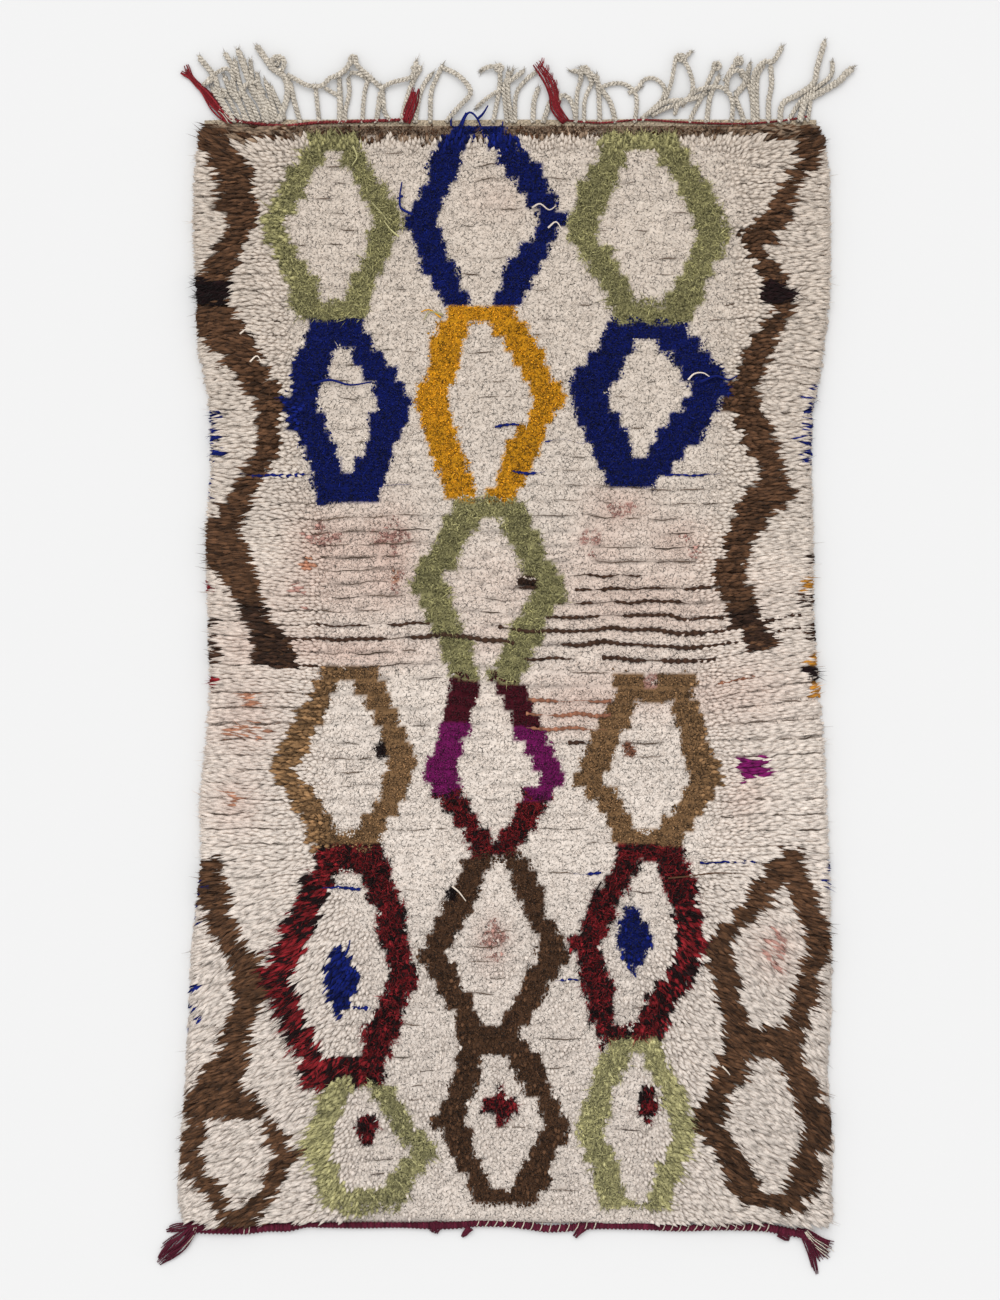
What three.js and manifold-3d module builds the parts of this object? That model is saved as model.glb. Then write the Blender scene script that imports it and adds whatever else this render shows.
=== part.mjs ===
// Moroccan rug: a hand-knotted wool pile rug lying flat on a floor, with a warp fringe at its upper end and a
// bound cord with tassels at its lower end. Millimetres, X across the rug, Y along it, Z up, floor at Z = 0.
import * as THREE from "three";
import { mergeVertices } from "three/addons/utils/BufferGeometryUtils.js";
import Module from "manifold-3d";

const wasm = await Module();
wasm.setup();

// Pile field
const PILE_TOP = 870;
const PILE_BOTTOM = -862;
const PILE_HEIGHT = 22;
const PILE_LUMP = 4.4;
const ROW_RIDGE = 1.6;
const KNOT_ROWS = 70;
const COLUMNS = 20;
const RIM_INSET = 24;
const RIM_SHARE = 0.72;
const LOCK_LENGTH = 11;
const LOCK_SPREAD = 9;
const LOCK_DROOP = 5;
const END_WEAVE_HEIGHT = 3.5;
const END_WEAVE_START = -867;
const UNDERSIDE_HALF_WIDTH = 430;
const UNDERSIDE_HALF_LENGTH = 830;

// Warp fringe and the flat-woven strip it grows from
const GAP = 0.5;
const STRIP_LEFT = -486;
const STRIP_RIGHT = 494;
const STRIP_TOP = 891;
const STRIP_HEIGHT = 4;
const STRAND_ROOT = 888.6;
const STRAND_WIDTH = 6.4;
const STRAND_HEIGHT = 6;
const STRAND_STEPS = 9;
const LOOP_STEPS = 16;

// Red twining laid on the strip
const TWINING_Y = 884;
const TWINING_WIDTH = 4.4;
const TWINING_HEIGHT = 3.4;
const TWINING_BASE = STRIP_HEIGHT + GAP;

// Bound cord and tassels at the lower end
const BINDING_WIDTH = 12;
const BINDING_HEIGHT = 9;
const BINDING_CLEAR = 2.2;
const TUFT_WIDTH = 7;
const TUFT_HEIGHT = 5;
const HEAD_WIDTH = 11;
const HEAD_HEIGHT = 9;

// Sections as side and lift shares of a width and a height
const FOUR_SIDES = [[-0.5, 0], [0.5, 0], [0.3, 1], [-0.3, 1]];
const SIX_SIDES = [[-0.3, 0], [0.3, 0], [0.5, 0.5], [0.3, 1], [-0.3, 1], [-0.5, 0.5]];

// Outline of the pile to the tips of its locks: y, left, right
const OUTLINE = [
  [870, -491, 499],
  [856, -498, 506],
  [808, -504, 515],
  [712, -506, 517],
  [616, -501, 517],
  [520, -498, 506],
  [472, -486, 498],
  [424, -478, 488],
  [328, -477, 486],
  [232, -485, 490],
  [88, -482, 490],
  [-8, -478, 496],
  [-104, -485, 507],
  [-200, -496, 510],
  [-296, -493, 515],
  [-440, -509, 518],
  [-536, -512, 517],
  [-632, -517, 511],
  [-728, -525, 520],
  [-824, -530, 519],
  [-859, -524, 522],
  [-890, -512, 502],
];

// Single strands: root x, then sideways steps at a third, two thirds and the tip, and the reach from the root
const STRANDS = [
  [-435, -20, -33, -58, 99],
  [-426, -8, -17, -25, 52],
  [-414, -15, -23, -37, 105],
  [-402, -14, -22, -27, 110],
  [-384, -14, -25, -27, 92],
  [-366, 8, -8, -36, 115],
  [-269, -4, -3, 16, 108],
  [-258, 3, 5, 7, 64],
  [-234, 2, 3, 5, 59],
  [-211, 1, 0, -3, 43],
  [-189, -12, -37, -53, 108],
  [-173, 5, 16, 29, 88],
  [-144, 3, 13, 32, 84],
  [-26, 5, 12, -12, 81],
  [-5, 0, 2, 11, 76],
  [59, 3, 2, -1, 32],
  [109, -2, -6, -13, 35],
  [121, -5, -6, -16, 78],
  [133, -5, -1, -7, 83],
  [149, -1, -3, -7, 70],
  [245, 4, 6, 9, 26],
  [302, 7, 19, 31, 89],
  [320, 3, 9, 21, 64],
  [357, 1, -2, -13, 46],
  [379, -12, -5, -9, 97],
  [394, -4, 7, 43, 115],
  [418, 1, 3, 1, 75],
  [435, 27, 58, 72, 123],
  [451, 27, 56, 69, 92],
  [470, 28, 61, 79, 81],
].map(([root, third, twoThirds, tip, reach]) => ({ root, third, twoThirds, tip, reach }));

// Looped strands: both roots, the crown's place and height, and how far each leg swells at mid height
const LOOPS = [
  [-336, -304, -334, 66, -9, -1],
  [-125, -98, -98, 80, 3, 37],
  [11, 38, 29, 59, 3, 3],
  [170, 203, 180, 60, -8, 3],
  [217, 228, 230, 67, -1, 18],
  [266, 286, 277, 103, -3, 5],
].map(([left, right, crown, height, leftSwell, rightSwell]) => {
  return { left, right, crown, height, leftSwell, rightSwell };
});

// Red twining, left run: x, y, underside, width, height from the loose end to the corner tassel's fork
const TWINING_LEFT = [
  [-152, 934, 0, 4, 4],
  [-155, 920, 0, 8, 6],
  [-157, 907, 0, 8, 6],
  [-159, 894, TWINING_BASE, 7, 5],
  [-166, 886, TWINING_BASE, 5, 4],
  [-178, TWINING_Y, TWINING_BASE, TWINING_WIDTH, TWINING_HEIGHT],
  [-300, TWINING_Y - 2, TWINING_BASE, TWINING_WIDTH, TWINING_HEIGHT],
  [-440, TWINING_Y, TWINING_BASE, TWINING_WIDTH, TWINING_HEIGHT],
  [-457, 887, TWINING_BASE, 6, 4],
  [-466, 894, TWINING_BASE, 9, 5],
  [-476, 908, 0, 14, 8],
  [-486, 924, 0, 16, 8],
  [-497, 941, 0, 11, 7],
  [-505, 951, 0, 8, 6],
];
// Tips of the corner tassel: x, y and width
const CORNER_TIPS = [
  [-528, 971, 4],
  [-518, 981, 4],
];
// Red twining, right run: x, y, underside, width, height from the loose end's tip
const TWINING_RIGHT = [
  [40, 987, 0, 4, 4],
  [51, 970, 0, 10, 6],
  [62, 955, 0, 13, 7],
  [72, 930, 0, 12, 7],
  [77, 914, 0, 10, 6],
  [82, 905, 0, 9, 6],
  [90, 894, TWINING_BASE, 7, 5],
  [99, 886, TWINING_BASE, 5, 4],
  [112, TWINING_Y, TWINING_BASE, TWINING_WIDTH, TWINING_HEIGHT],
  [300, TWINING_Y - 1, TWINING_BASE, TWINING_WIDTH, TWINING_HEIGHT],
  [400, TWINING_Y - 2, TWINING_BASE, TWINING_WIDTH, TWINING_HEIGHT],
  [487, TWINING_Y, TWINING_BASE, TWINING_WIDTH, TWINING_HEIGHT],
];

// Bound cord's line: x, y
const BINDING = [
  [-498, -888], [-440, -890], [-416, -889], [-386, -886], [-323, -881], [-173, -882], [-83, -882],
  [-51, -878], [-5, -879], [29, -882], [62, -887], [96, -886], [141, -883], [211, -883], [275, -886],
  [339, -884], [414, -886], [440, -891], [469, -896],
];
// Small tufts on the cord: root x, root y, tip x, tip y
const TUFTS = [
  [-118, -884, -123, -899],
  [-64, -884, -74, -900],
  [115, -887, 104, -907],
  [443, -893, 446, -908],
];
// Tassels: the head's ends, then strands as root, belly, tip and belly width
const TASSEL_LEFT = {
  head: [[-501, -889], [-516, -891]],
  strands: [
    [[-512, -889], [-533, -891], [-556, -892], 8],
    [[-512, -891], [-537, -906], [-562, -921], 5],
    [[-510, -893], [-527, -920], [-565, -946], 15],
  ],
};
const TASSEL_RIGHT = {
  head: [[472.5, -897], [486, -904]],
  strands: [
    [[483, -902], [505, -909], [527, -921], 11],
    [[484, -904], [504, -922], [520, -939], 6],
    [[483, -906], [496, -927], [505, -946], 5],
    [[480, -906], [488, -936], [496, -965], 7],
  ],
};

const lerp = (a, b, t) => a + (b - a) * t;
const uneven = (n, seed) => {
  const s = Math.sin(n * 12.9898 + seed * 78.233) * 43758.5453;
  return s - Math.floor(s);
};

// Value of a table's column at a place along its first column, rising or falling
function columnAt(table, place, column) {
  const rising = table[table.length - 1][0] > table[0][0];
  const along = table.findIndex((row) => (rising ? row[0] >= place : row[0] <= place));
  if (along <= 0) return table[along < 0 ? table.length - 1 : 0][column];
  const [a, b] = [table[along - 1], table[along]];
  return lerp(a[column], b[column], (place - a[0]) / (b[0] - a[0]));
}

function solidOf(geometry) {
  const merged = mergeVertices(geometry, 1e-3);
  const vertProperties = merged.attributes.position.array;
  const triVerts = new Uint32Array(merged.index.array);
  return new wasm.Manifold(new wasm.Mesh({ numProp: 3, vertProperties, triVerts }));
}

function geometryOf(solid) {
  const mesh = solid.getMesh();
  return new THREE.BufferGeometry()
    .setAttribute("position", new THREE.BufferAttribute(mesh.vertProperties, 3))
    .setIndex(new THREE.BufferAttribute(mesh.triVerts, 1));
}

function geometryFrom(positions, index) {
  return new THREE.BufferGeometry()
    .setAttribute("position", new THREE.Float32BufferAttribute(positions, 3))
    .setIndex(index);
}

// A yarn lying level: rings of one section along stations of x, y, underside, width and height
function yarn(stations, section) {
  const positions = [];
  const index = [];
  const sides = section.length;
  stations.forEach(([x, y, base, width, height], i) => {
    const before = stations[Math.max(i - 1, 0)];
    const after = stations[Math.min(i + 1, stations.length - 1)];
    const run = Math.hypot(after[0] - before[0], after[1] - before[1]);
    const acrossX = -(after[1] - before[1]) / run;
    const acrossY = (after[0] - before[0]) / run;
    for (const [side, lift] of section)
      positions.push(x + acrossX * side * width, y + acrossY * side * width, base + lift * height);
  });
  const last = (stations.length - 1) * sides;
  for (let ring = 0; ring < last; ring += sides)
    for (let k = 0; k < sides; k++) {
      const next = (k + 1) % sides;
      index.push(ring + k, ring + next, ring + sides + next);
      index.push(ring + k, ring + sides + next, ring + sides + k);
    }
  for (let k = 1; k < sides - 1; k++) {
    index.push(0, k + 1, k);
    index.push(last, last + k, last + k + 1);
  }
  return geometryFrom(positions, index);
}

// Stations of a smooth yarn through a few points, narrowing by a share towards its end
function smoothStations(points, steps, width, height, narrowing) {
  const curve = new THREE.CatmullRomCurve3(points.map(([x, y]) => new THREE.Vector3(x, y, 0)), false, "centripetal");
  return curve.getSpacedPoints(steps).map((p, i) => {
    const size = 1 - narrowing * Math.pow(i / steps, 3);
    return [p.x, p.y, 0, width * size, height * size];
  });
}

const joined = (geometries) => geometries.map(solidOf).reduce((whole, piece) => whole.add(piece));

// Pile: a lumpy slab on a flat underside, its long sides a rim of tapered locks, one for each knot row
function pileGeometry() {
  const positions = [];
  const index = [];
  const vertex = (x, y, z) => positions.push(x, y, z) / 3 - 1;
  const face = (flip, a, b, c) => (flip ? index.push(a, c, b) : index.push(a, b, c));
  const pitch = (PILE_TOP - PILE_BOTTOM) / KNOT_ROWS;
  const rows = KNOT_ROWS + 2;
  const lowerEdge = (x) => columnAt(BINDING, x, 1) + BINDING_WIDTH / 2 + BINDING_CLEAR;
  const rowY = (row, x) => {
    if (row <= KNOT_ROWS) return PILE_TOP - row * pitch;
    return row === KNOT_ROWS + 1 ? END_WEAVE_START : lowerEdge(x);
  };
  const lump = (x, y, row, column) => {
    const swell = Math.sin(x / 61 + 1.3 * Math.sin(y / 97)) + Math.sin(y / 53 + 0.8 * Math.sin(x / 71));
    const ridge = ROW_RIDGE * (row % 2 === 0 ? 1 : -1);
    return PILE_HEIGHT + ridge + PILE_LUMP * (0.4 * swell + uneven(row * 31 + column, 1) - 0.5);
  };
  const knotted = (row) => row <= KNOT_ROWS;
  const top = [];
  const base = [];
  for (let row = 0; row <= rows; row++) {
    const middle = rowY(row, 0);
    const left = columnAt(OUTLINE, middle, 1) + RIM_INSET;
    const right = columnAt(OUTLINE, middle, 2) - RIM_INSET;
    top.push([]);
    base.push([]);
    for (let column = 0; column <= COLUMNS; column++) {
      const x = lerp(left, right, column / COLUMNS);
      const y = rowY(row, x);
      const rim = column === 0 || column === COLUMNS || row === 0;
      const height = lump(x, y, row, column) * (rim ? RIM_SHARE : 1);
      top[row].push(vertex(x, y, knotted(row) ? height : END_WEAVE_HEIGHT));
      const outer = row === 0 || row === rows || column === 0 || column === COLUMNS;
      base[row].push(outer ? vertex(x, y, 0) : -1);
    }
  }
  for (let row = 0; row < rows; row++)
    for (let column = 0; column < COLUMNS; column++) {
      const [a, b] = [top[row][column], top[row][column + 1]];
      const [d, c] = [top[row + 1][column], top[row + 1][column + 1]];
      face(false, a, d, c);
      face(false, a, c, b);
    }
  for (const side of [-1, 1]) {
    const flip = side > 0;
    const column = flip ? COLUMNS : 0;
    const middle = [];
    const foot = [];
    for (let k = 0; k <= rows * 2; k++) {
      const tip = k % 2 === 0;
      const row = k / 2;
      const x = positions[top[Math.floor(row)][column] * 3];
      const edge = lerp(rowY(Math.floor(row), x), rowY(Math.ceil(row), x), 0.5);
      const woven = row > KNOT_ROWS;
      const inside = k === 0 || woven;
      const reach = tip ? LOCK_SPREAD * 0.6 * uneven(k, 3) : LOCK_LENGTH + LOCK_SPREAD * uneven(k, 4);
      const out = columnAt(OUTLINE, edge, flip ? 2 : 1) - side * (woven ? LOCK_LENGTH : reach);
      const y = inside ? edge : edge - LOCK_DROOP * uneven(k, 5);
      const height = woven ? END_WEAVE_HEIGHT : PILE_HEIGHT * RIM_SHARE;
      middle.push(vertex(out - side * 4, y, height * 0.5));
      foot.push(vertex(out, y, 0));
    }
    for (let row = 0; row < rows; row++) {
      const k = row * 2;
      for (const [inner, outer, turned] of [[top, middle, flip], [base, foot, !flip]]) {
        const [a, b] = [inner[row][column], inner[row + 1][column]];
        face(turned, a, outer[k], outer[k + 1]);
        face(turned, a, outer[k + 1], b);
        face(turned, b, outer[k + 1], outer[k + 2]);
      }
    }
    for (let k = 0; k < rows * 2; k++) {
      face(flip, middle[k], foot[k], foot[k + 1]);
      face(flip, middle[k], foot[k + 1], middle[k + 1]);
    }
    for (const [row, k, turned] of [[0, 0, flip], [rows, rows * 2, !flip]]) {
      face(turned, top[row][column], base[row][column], foot[k]);
      face(turned, top[row][column], foot[k], middle[k]);
    }
  }
  for (const [row, turned] of [[0, false], [rows, true]])
    for (let column = 0; column < COLUMNS; column++) {
      face(turned, top[row][column], top[row][column + 1], base[row][column + 1]);
      face(turned, top[row][column], base[row][column + 1], base[row][column]);
    }
  const low = vertex(-UNDERSIDE_HALF_WIDTH, -UNDERSIDE_HALF_LENGTH, 0);
  const lowRight = vertex(UNDERSIDE_HALF_WIDTH, -UNDERSIDE_HALF_LENGTH, 0);
  const high = vertex(0, UNDERSIDE_HALF_LENGTH, 0);
  face(true, low, lowRight, high);
  const round = [];
  for (let row = 0; row < rows; row++) round.push([base[row][0], row < rows / 2 ? high : low]);
  for (let column = 0; column < COLUMNS; column++)
    round.push([base[rows][column], column < COLUMNS / 2 ? low : lowRight]);
  for (let row = rows; row > 0; row--) round.push([base[row][COLUMNS], row < rows / 2 ? high : lowRight]);
  for (let column = COLUMNS; column > 0; column--) round.push([base[0][column], high]);
  round.forEach(([here, apex], i) => {
    const [next, nextApex] = round[(i + 1) % round.length];
    face(true, here, next, apex);
    if (nextApex !== apex) face(true, apex, next, nextApex);
  });
  return geometryFrom(positions, index);
}

// Fringe: single and looped warp strands fused into the narrow flat-woven strip
function fringeGeometry() {
  const depth = STRIP_TOP - PILE_TOP - GAP;
  const strip = new THREE.BoxGeometry(STRIP_RIGHT - STRIP_LEFT, depth, STRIP_HEIGHT);
  strip.deleteAttribute("normal");
  strip.deleteAttribute("uv");
  strip.translate((STRIP_LEFT + STRIP_RIGHT) / 2, STRIP_TOP - depth / 2, STRIP_HEIGHT / 2);
  const singles = STRANDS.map(({ root, third, twoThirds, tip, reach }) => {
    const points = [
      [root, STRAND_ROOT],
      [root + third, STRAND_ROOT + reach / 3],
      [root + twoThirds, STRAND_ROOT + (reach * 2) / 3],
      [root + tip, STRAND_ROOT + reach],
    ];
    return yarn(smoothStations(points, STRAND_STEPS, STRAND_WIDTH, STRAND_HEIGHT, 0.4), FOUR_SIDES);
  });
  const loops = LOOPS.map(({ left, right, crown, height, leftSwell, rightSwell }) => {
    const points = [
      [left, STRAND_ROOT],
      [left + leftSwell, STRAND_ROOT + height * 0.5],
      [crown, STRAND_ROOT + height],
      [right + rightSwell, STRAND_ROOT + height * 0.5],
      [right, STRAND_ROOT],
    ];
    return yarn(smoothStations(points, LOOP_STEPS, STRAND_WIDTH, STRAND_HEIGHT, 0), FOUR_SIDES);
  });
  return geometryOf(joined([strip, ...singles, ...loops]));
}

// Left twining with its loose end and the forked corner tassel
function leftTwiningGeometry() {
  const fork = TWINING_LEFT[TWINING_LEFT.length - 2];
  const tips = CORNER_TIPS.map(([x, y, width]) => {
    const belly = [lerp(fork[0], x, 0.5), lerp(fork[1], y, 0.5), 0, width * 1.6, fork[4] - 1];
    return yarn([[fork[0], fork[1], 0, width * 1.6, fork[4] - 1], belly, [x, y, 0, width, width]], FOUR_SIDES);
  });
  return geometryOf(joined([yarn(TWINING_LEFT, FOUR_SIDES), ...tips]));
}

// Bound cord along the lower end with its few short tufts
function bindingGeometry() {
  const line = BINDING.map(([x, y]) => [x, y, 0, BINDING_WIDTH, BINDING_HEIGHT]);
  const tufts = TUFTS.map(([x, y, tipX, tipY]) => {
    return yarn([[x, y, 0, TUFT_WIDTH, TUFT_HEIGHT], [tipX, tipY, 0, 2.5, 2.5]], FOUR_SIDES);
  });
  return geometryOf(joined([yarn(line, SIX_SIDES), ...tufts]));
}

// Tassel: a bound head and its splayed strands
function tasselGeometry({ head, strands }) {
  const bound = yarn(head.map(([x, y]) => [x, y, 0, HEAD_WIDTH, HEAD_HEIGHT]), SIX_SIDES);
  const loose = strands.map(([root, belly, tip, width]) => {
    const height = Math.min(width, HEAD_HEIGHT - 2);
    return yarn(
      [
        [...root, 0, Math.min(width, 5), height * 0.8],
        [...belly, 0, width, height],
        [...tip, 0, 2.5, 2.5],
      ],
      FOUR_SIDES,
    );
  });
  return geometryOf(joined([bound, ...loose]));
}

const rug = new THREE.Group();
rug.name = "moroccan_rug";
function add(name, geometry, color, roughness) {
  const material = new THREE.MeshStandardMaterial({ color, roughness, metalness: 0 });
  const mesh = new THREE.Mesh(geometry, material);
  mesh.name = name;
  rug.add(mesh);
}

add("pile_rug", pileGeometry(), 0xd7cbbb, 0.95);
add("top_fringe", fringeGeometry(), 0xb9ac96, 0.9);
add("red_twining_left", leftTwiningGeometry(), 0x96282d, 0.9);
add("red_twining_right", yarn(TWINING_RIGHT, FOUR_SIDES), 0x96282d, 0.9);
add("bottom_binding", bindingGeometry(), 0x461428, 0.9);
add("tassel_left", tasselGeometry(TASSEL_LEFT), 0x461428, 0.9);
add("tassel_right", tasselGeometry(TASSEL_RIGHT), 0x461428, 0.9);

export default rug;
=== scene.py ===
"""The looks of a hand-knotted Moroccan rug: wool pile, warp fringe, red twining and a bound lower end."""
import math
from collections import namedtuple

import bmesh
import bpy
import numpy as np
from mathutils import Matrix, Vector


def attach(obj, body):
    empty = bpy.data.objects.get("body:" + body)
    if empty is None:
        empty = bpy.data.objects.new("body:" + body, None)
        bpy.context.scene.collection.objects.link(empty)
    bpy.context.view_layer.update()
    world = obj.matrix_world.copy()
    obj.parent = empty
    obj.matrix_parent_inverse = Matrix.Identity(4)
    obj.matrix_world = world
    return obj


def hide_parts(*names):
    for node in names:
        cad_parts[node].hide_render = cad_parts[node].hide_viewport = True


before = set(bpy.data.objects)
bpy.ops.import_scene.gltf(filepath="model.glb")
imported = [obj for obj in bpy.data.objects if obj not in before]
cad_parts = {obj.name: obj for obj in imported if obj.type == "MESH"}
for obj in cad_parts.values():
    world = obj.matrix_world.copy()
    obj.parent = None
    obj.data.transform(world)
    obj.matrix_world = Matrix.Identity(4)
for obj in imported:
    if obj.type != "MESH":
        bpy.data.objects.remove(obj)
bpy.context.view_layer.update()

SEED = 71
rng = np.random.default_rng(SEED)

# The weaver's chart is counted in steps of 1.6 mm, columns to the right and lines downwards.
CHART_STEP = 0.0016
MIDDLE_COLUMN = 508
MIDDLE_LINE = 675

MM = 0.001


def chart_xy(column, line):
    """Metres on the floor from a place on the chart."""
    return (column - MIDDLE_COLUMN) * CHART_STEP, (MIDDLE_LINE - line) * CHART_STEP


# Sides of the rug on the chart: line, left column, right column
SIDES = np.array((
    (122, 203, 822), (131, 201, 820), (140, 197, 824), (170, 193, 830), (230, 192, 831), (290, 195, 831),
    (350, 197, 824), (380, 204, 819), (410, 209, 813), (470, 210, 812), (530, 205, 814), (620, 207, 814),
    (680, 209, 818), (740, 205, 825), (800, 198, 827), (860, 200, 830), (950, 190, 832), (1010, 188, 831),
    (1070, 185, 827), (1130, 180, 833), (1190, 177, 832), (1212, 181, 834), (1231, 188, 822),
), dtype=float)


def side_columns(line):
    """Left and right side of the rug on a line of the chart."""
    return np.interp(line, SIDES[:, 0], SIDES[:, 1]), np.interp(line, SIDES[:, 0], SIDES[:, 2])


# Yarns

Yarn = namedtuple("Yarn", "name tone spread")

YARNS = (
    Yarn("ivory", (226, 212, 197), 0.06),
    Yarn("brown", (90, 63, 44), 0.36),
    Yarn("blue", (11, 25, 97), 0.42),
    Yarn("green", (172, 166, 117), 0.18),
    Yarn("saffron", (226, 160, 33), 0.30),
    Yarn("madder", (130, 30, 36), 0.30),
    Yarn("black", (30, 15, 16), 0.25),
    Yarn("burgundy", (80, 18, 32), 0.20),
    Yarn("purple", (126, 24, 98), 0.16),
    Yarn("tan", (148, 114, 79), 0.32),
    Yarn("rust", (146, 98, 76), 0.20),
    Yarn("pink", (196, 150, 138), 0.12),
    Yarn("umber", (64, 44, 33), 0.30),
    Yarn("ochre", (184, 126, 44), 0.20),
    Yarn("sage", (190, 184, 134), 0.16),
    Yarn("dun", (150, 127, 106), 0.20),
    Yarn("clay", (196, 140, 112), 0.14),
)
YARN_INDEX = {yarn.name: number for number, yarn in enumerate(YARNS)}
IVORY = YARN_INDEX["ivory"]


def linear_tone(tone):
    """A colour as the eye sees it, 0 to 255, turned to the renderer's linear values."""
    c = np.asarray(tone, dtype=float) / 255.0
    return np.where(c <= 0.04045, c / 12.92, ((c + 0.055) / 1.055) ** 2.4)


YARN_TONES = np.array([linear_tone(yarn.tone) for yarn in YARNS])
YARN_SPREADS = np.array([yarn.spread for yarn in YARNS])

# Chart of the lozenges: side columns and line, end lines, columns of the flat ends, arm width, closed ends
Lozenge = namedtuple(
    "Lozenge",
    "yarn left right side top bottom top_left top_right bottom_left bottom_right arm top_cap bottom_cap",
)

LOZENGES = (
    Lozenge("green", 260, 403, 222, 132, 322, 312, 355, 305, 362, 26, 18, 24),
    Lozenge("blue", 404, 568, 222, 124, 308, 447, 506, 443, 515, 31, 0, 0),
    Lozenge("green", 567, 731, 228, 132, 318, 608, 673, 620, 690, 29, 18, 20),
    Lozenge("blue", 285, 412, 402, 318, 503, 308, 361, 320, 378, 33, 27, 24),
    Lozenge("saffron", 414, 567, 398, 308, 496, 444, 515, 443, 518, 33, 17, 0),
    Lozenge("blue", 568, 733, 392, 313, 487, 613, 680, 605, 655, 39, 21, 18),
    Lozenge("green", 412, 567, 588, 497, 682, 463, 515, 449, 518, 31, 22, 0),
    Lozenge("tan", 272, 420, 767, 676, 853, 322, 377, 316, 374, 27, 13, 16),
    Lozenge("burgundy", 424, 566, 777, 680, 856, 457, 521, 473, 514, 29, 0, 15),
    Lozenge("tan", 574, 723, 775, 688, 851, 617, 690, 622, 677, 29, 16, 17),
    Lozenge("madder", 261, 420, 976, 850, 1082, 318, 384, 308, 376, 30, 18, 26),
    Lozenge("brown", 421, 569, 955, 852, 1042, 474, 524, 462, 515, 27, 14, 14),
    Lozenge("madder", 570, 708, 942, 846, 1046, 622, 682, 598, 655, 29, 18, 16),
    Lozenge("brown", 706, 832, 942, 850, 1044, 783, 799, 727, 800, 25, 20, 20),
    Lozenge("sage", 302, 437, 1147, 1077, 1212, 326, 384, 330, 398, 25, 2, 20),
    Lozenge("brown", 435, 571, 1124, 1036, 1208, 464, 524, 476, 532, 28, 16, 14),
    Lozenge("sage", 577, 701, 1125, 1042, 1208, 610, 657, 606, 669, 25, 6, 10),
    Lozenge("brown", 696, 834, 1122, 1036, 1209, 726, 796, 745, 806, 29, 20, 18),
    Lozenge("brown", 180, 299, 1150, 1084, 1223, 192, 254, 224, 258, 21, 28, 17),
)

# Three brown zigzags at the sides: line, left column, right column at each turn
ZIGZAGS = (
    ((128, 190, 226), (152, 204, 238), (165, 212, 245), (200, 219, 258), (225, 225, 254), (245, 217, 242),
     (290, 193, 228), (330, 197, 245), (360, 220, 260), (400, 258, 288), (450, 255, 277), (495, 232, 258),
     (525, 205, 240), (565, 208, 255), (605, 230, 260), (645, 252, 290), (677, 262, 292)),
    ((128, 799, 830), (149, 801, 825), (174, 789, 806), (190, 778, 800), (210, 766, 792), (237, 739, 773),
     (252, 748, 769), (274, 758, 786), (310, 776, 797), (350, 748, 775), (395, 722, 757), (440, 745, 780),
     (480, 760, 785), (495, 745, 797), (540, 725, 755), (580, 717, 745), (620, 728, 760), (662, 750, 776)),
    ((855, 200, 220), (890, 197, 230), (930, 213, 240), (955, 227, 260), (975, 238, 268), (1000, 236, 262),
     (1050, 215, 246), (1086, 192, 240)),
)

# Small filled motifs and odd patches: yarn, middle column and line, half width and height, 1 for a diamond
Patch = namedtuple("Patch", "yarn column line half_width half_height diamond")

PATCHES = (
    Patch("black", 210, 291, 18, 10, 0),
    Patch("black", 778, 292, 15, 9, 0),
    Patch("blue", 340, 978, 21, 40, 1),
    Patch("blue", 634, 937, 22, 38, 1),
    Patch("madder", 367, 1127, 16, 20, 1),
    Patch("madder", 500, 1108, 17, 20, 1),
    Patch("madder", 646, 1103, 13, 20, 1),
    Patch("purple", 754, 770, 15, 9, 0),
    Patch("black", 380, 747, 6, 8, 0),
    Patch("black", 453, 895, 5, 8, 0),
    Patch("brown", 278, 667, 17, 9, 0),
    Patch("brown", 790, 857, 12, 8, 0),
    Patch("tan", 629, 678, 17, 10, 0),
    Patch("tan", 677, 678, 19, 10, 0),
    Patch("saffron", 433, 336, 15, 7, 1),
    Patch("umber", 525, 588, 11, 6, 0),
)

# Places where some dyed wool shows faintly in the ivory: yarn, middle, half size, share of the knots
Trace = namedtuple("Trace", "yarn column line half_width half_height share")

TRACES = (
    Trace("pink", 320, 536, 22, 14, 0.6),
    Trace("pink", 390, 540, 18, 16, 0.5),
    Trace("clay", 305, 570, 10, 7, 0.6),
    Trace("clay", 396, 577, 9, 8, 0.5),
    Trace("pink", 303, 600, 8, 14, 0.4),
    Trace("pink", 401, 592, 8, 18, 0.4),
    Trace("pink", 618, 508, 16, 10, 0.6),
    Trace("pink", 594, 540, 10, 14, 0.5),
    Trace("pink", 681, 533, 12, 6, 0.7),
    Trace("pink", 690, 549, 10, 7, 0.5),
    Trace("pink", 492, 943, 12, 22, 0.55),
    Trace("pink", 775, 945, 16, 22, 0.55),
    Trace("rust", 627, 748, 6, 6, 0.9),
    Trace("clay", 250, 706, 9, 6, 0.8),
    Trace("madder", 211, 692, 5, 5, 0.8),
    Trace("clay", 236, 800, 18, 12, 0.4),
    Trace("clay", 255, 735, 30, 10, 0.25),
    Trace("pink", 650, 680, 10, 12, 0.7),
)

# Coloured weft ends that show in the selvedges: yarn, side, first and last line, share of the wool there
Selvedge = namedtuple("Selvedge", "yarn side first last share")

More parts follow.
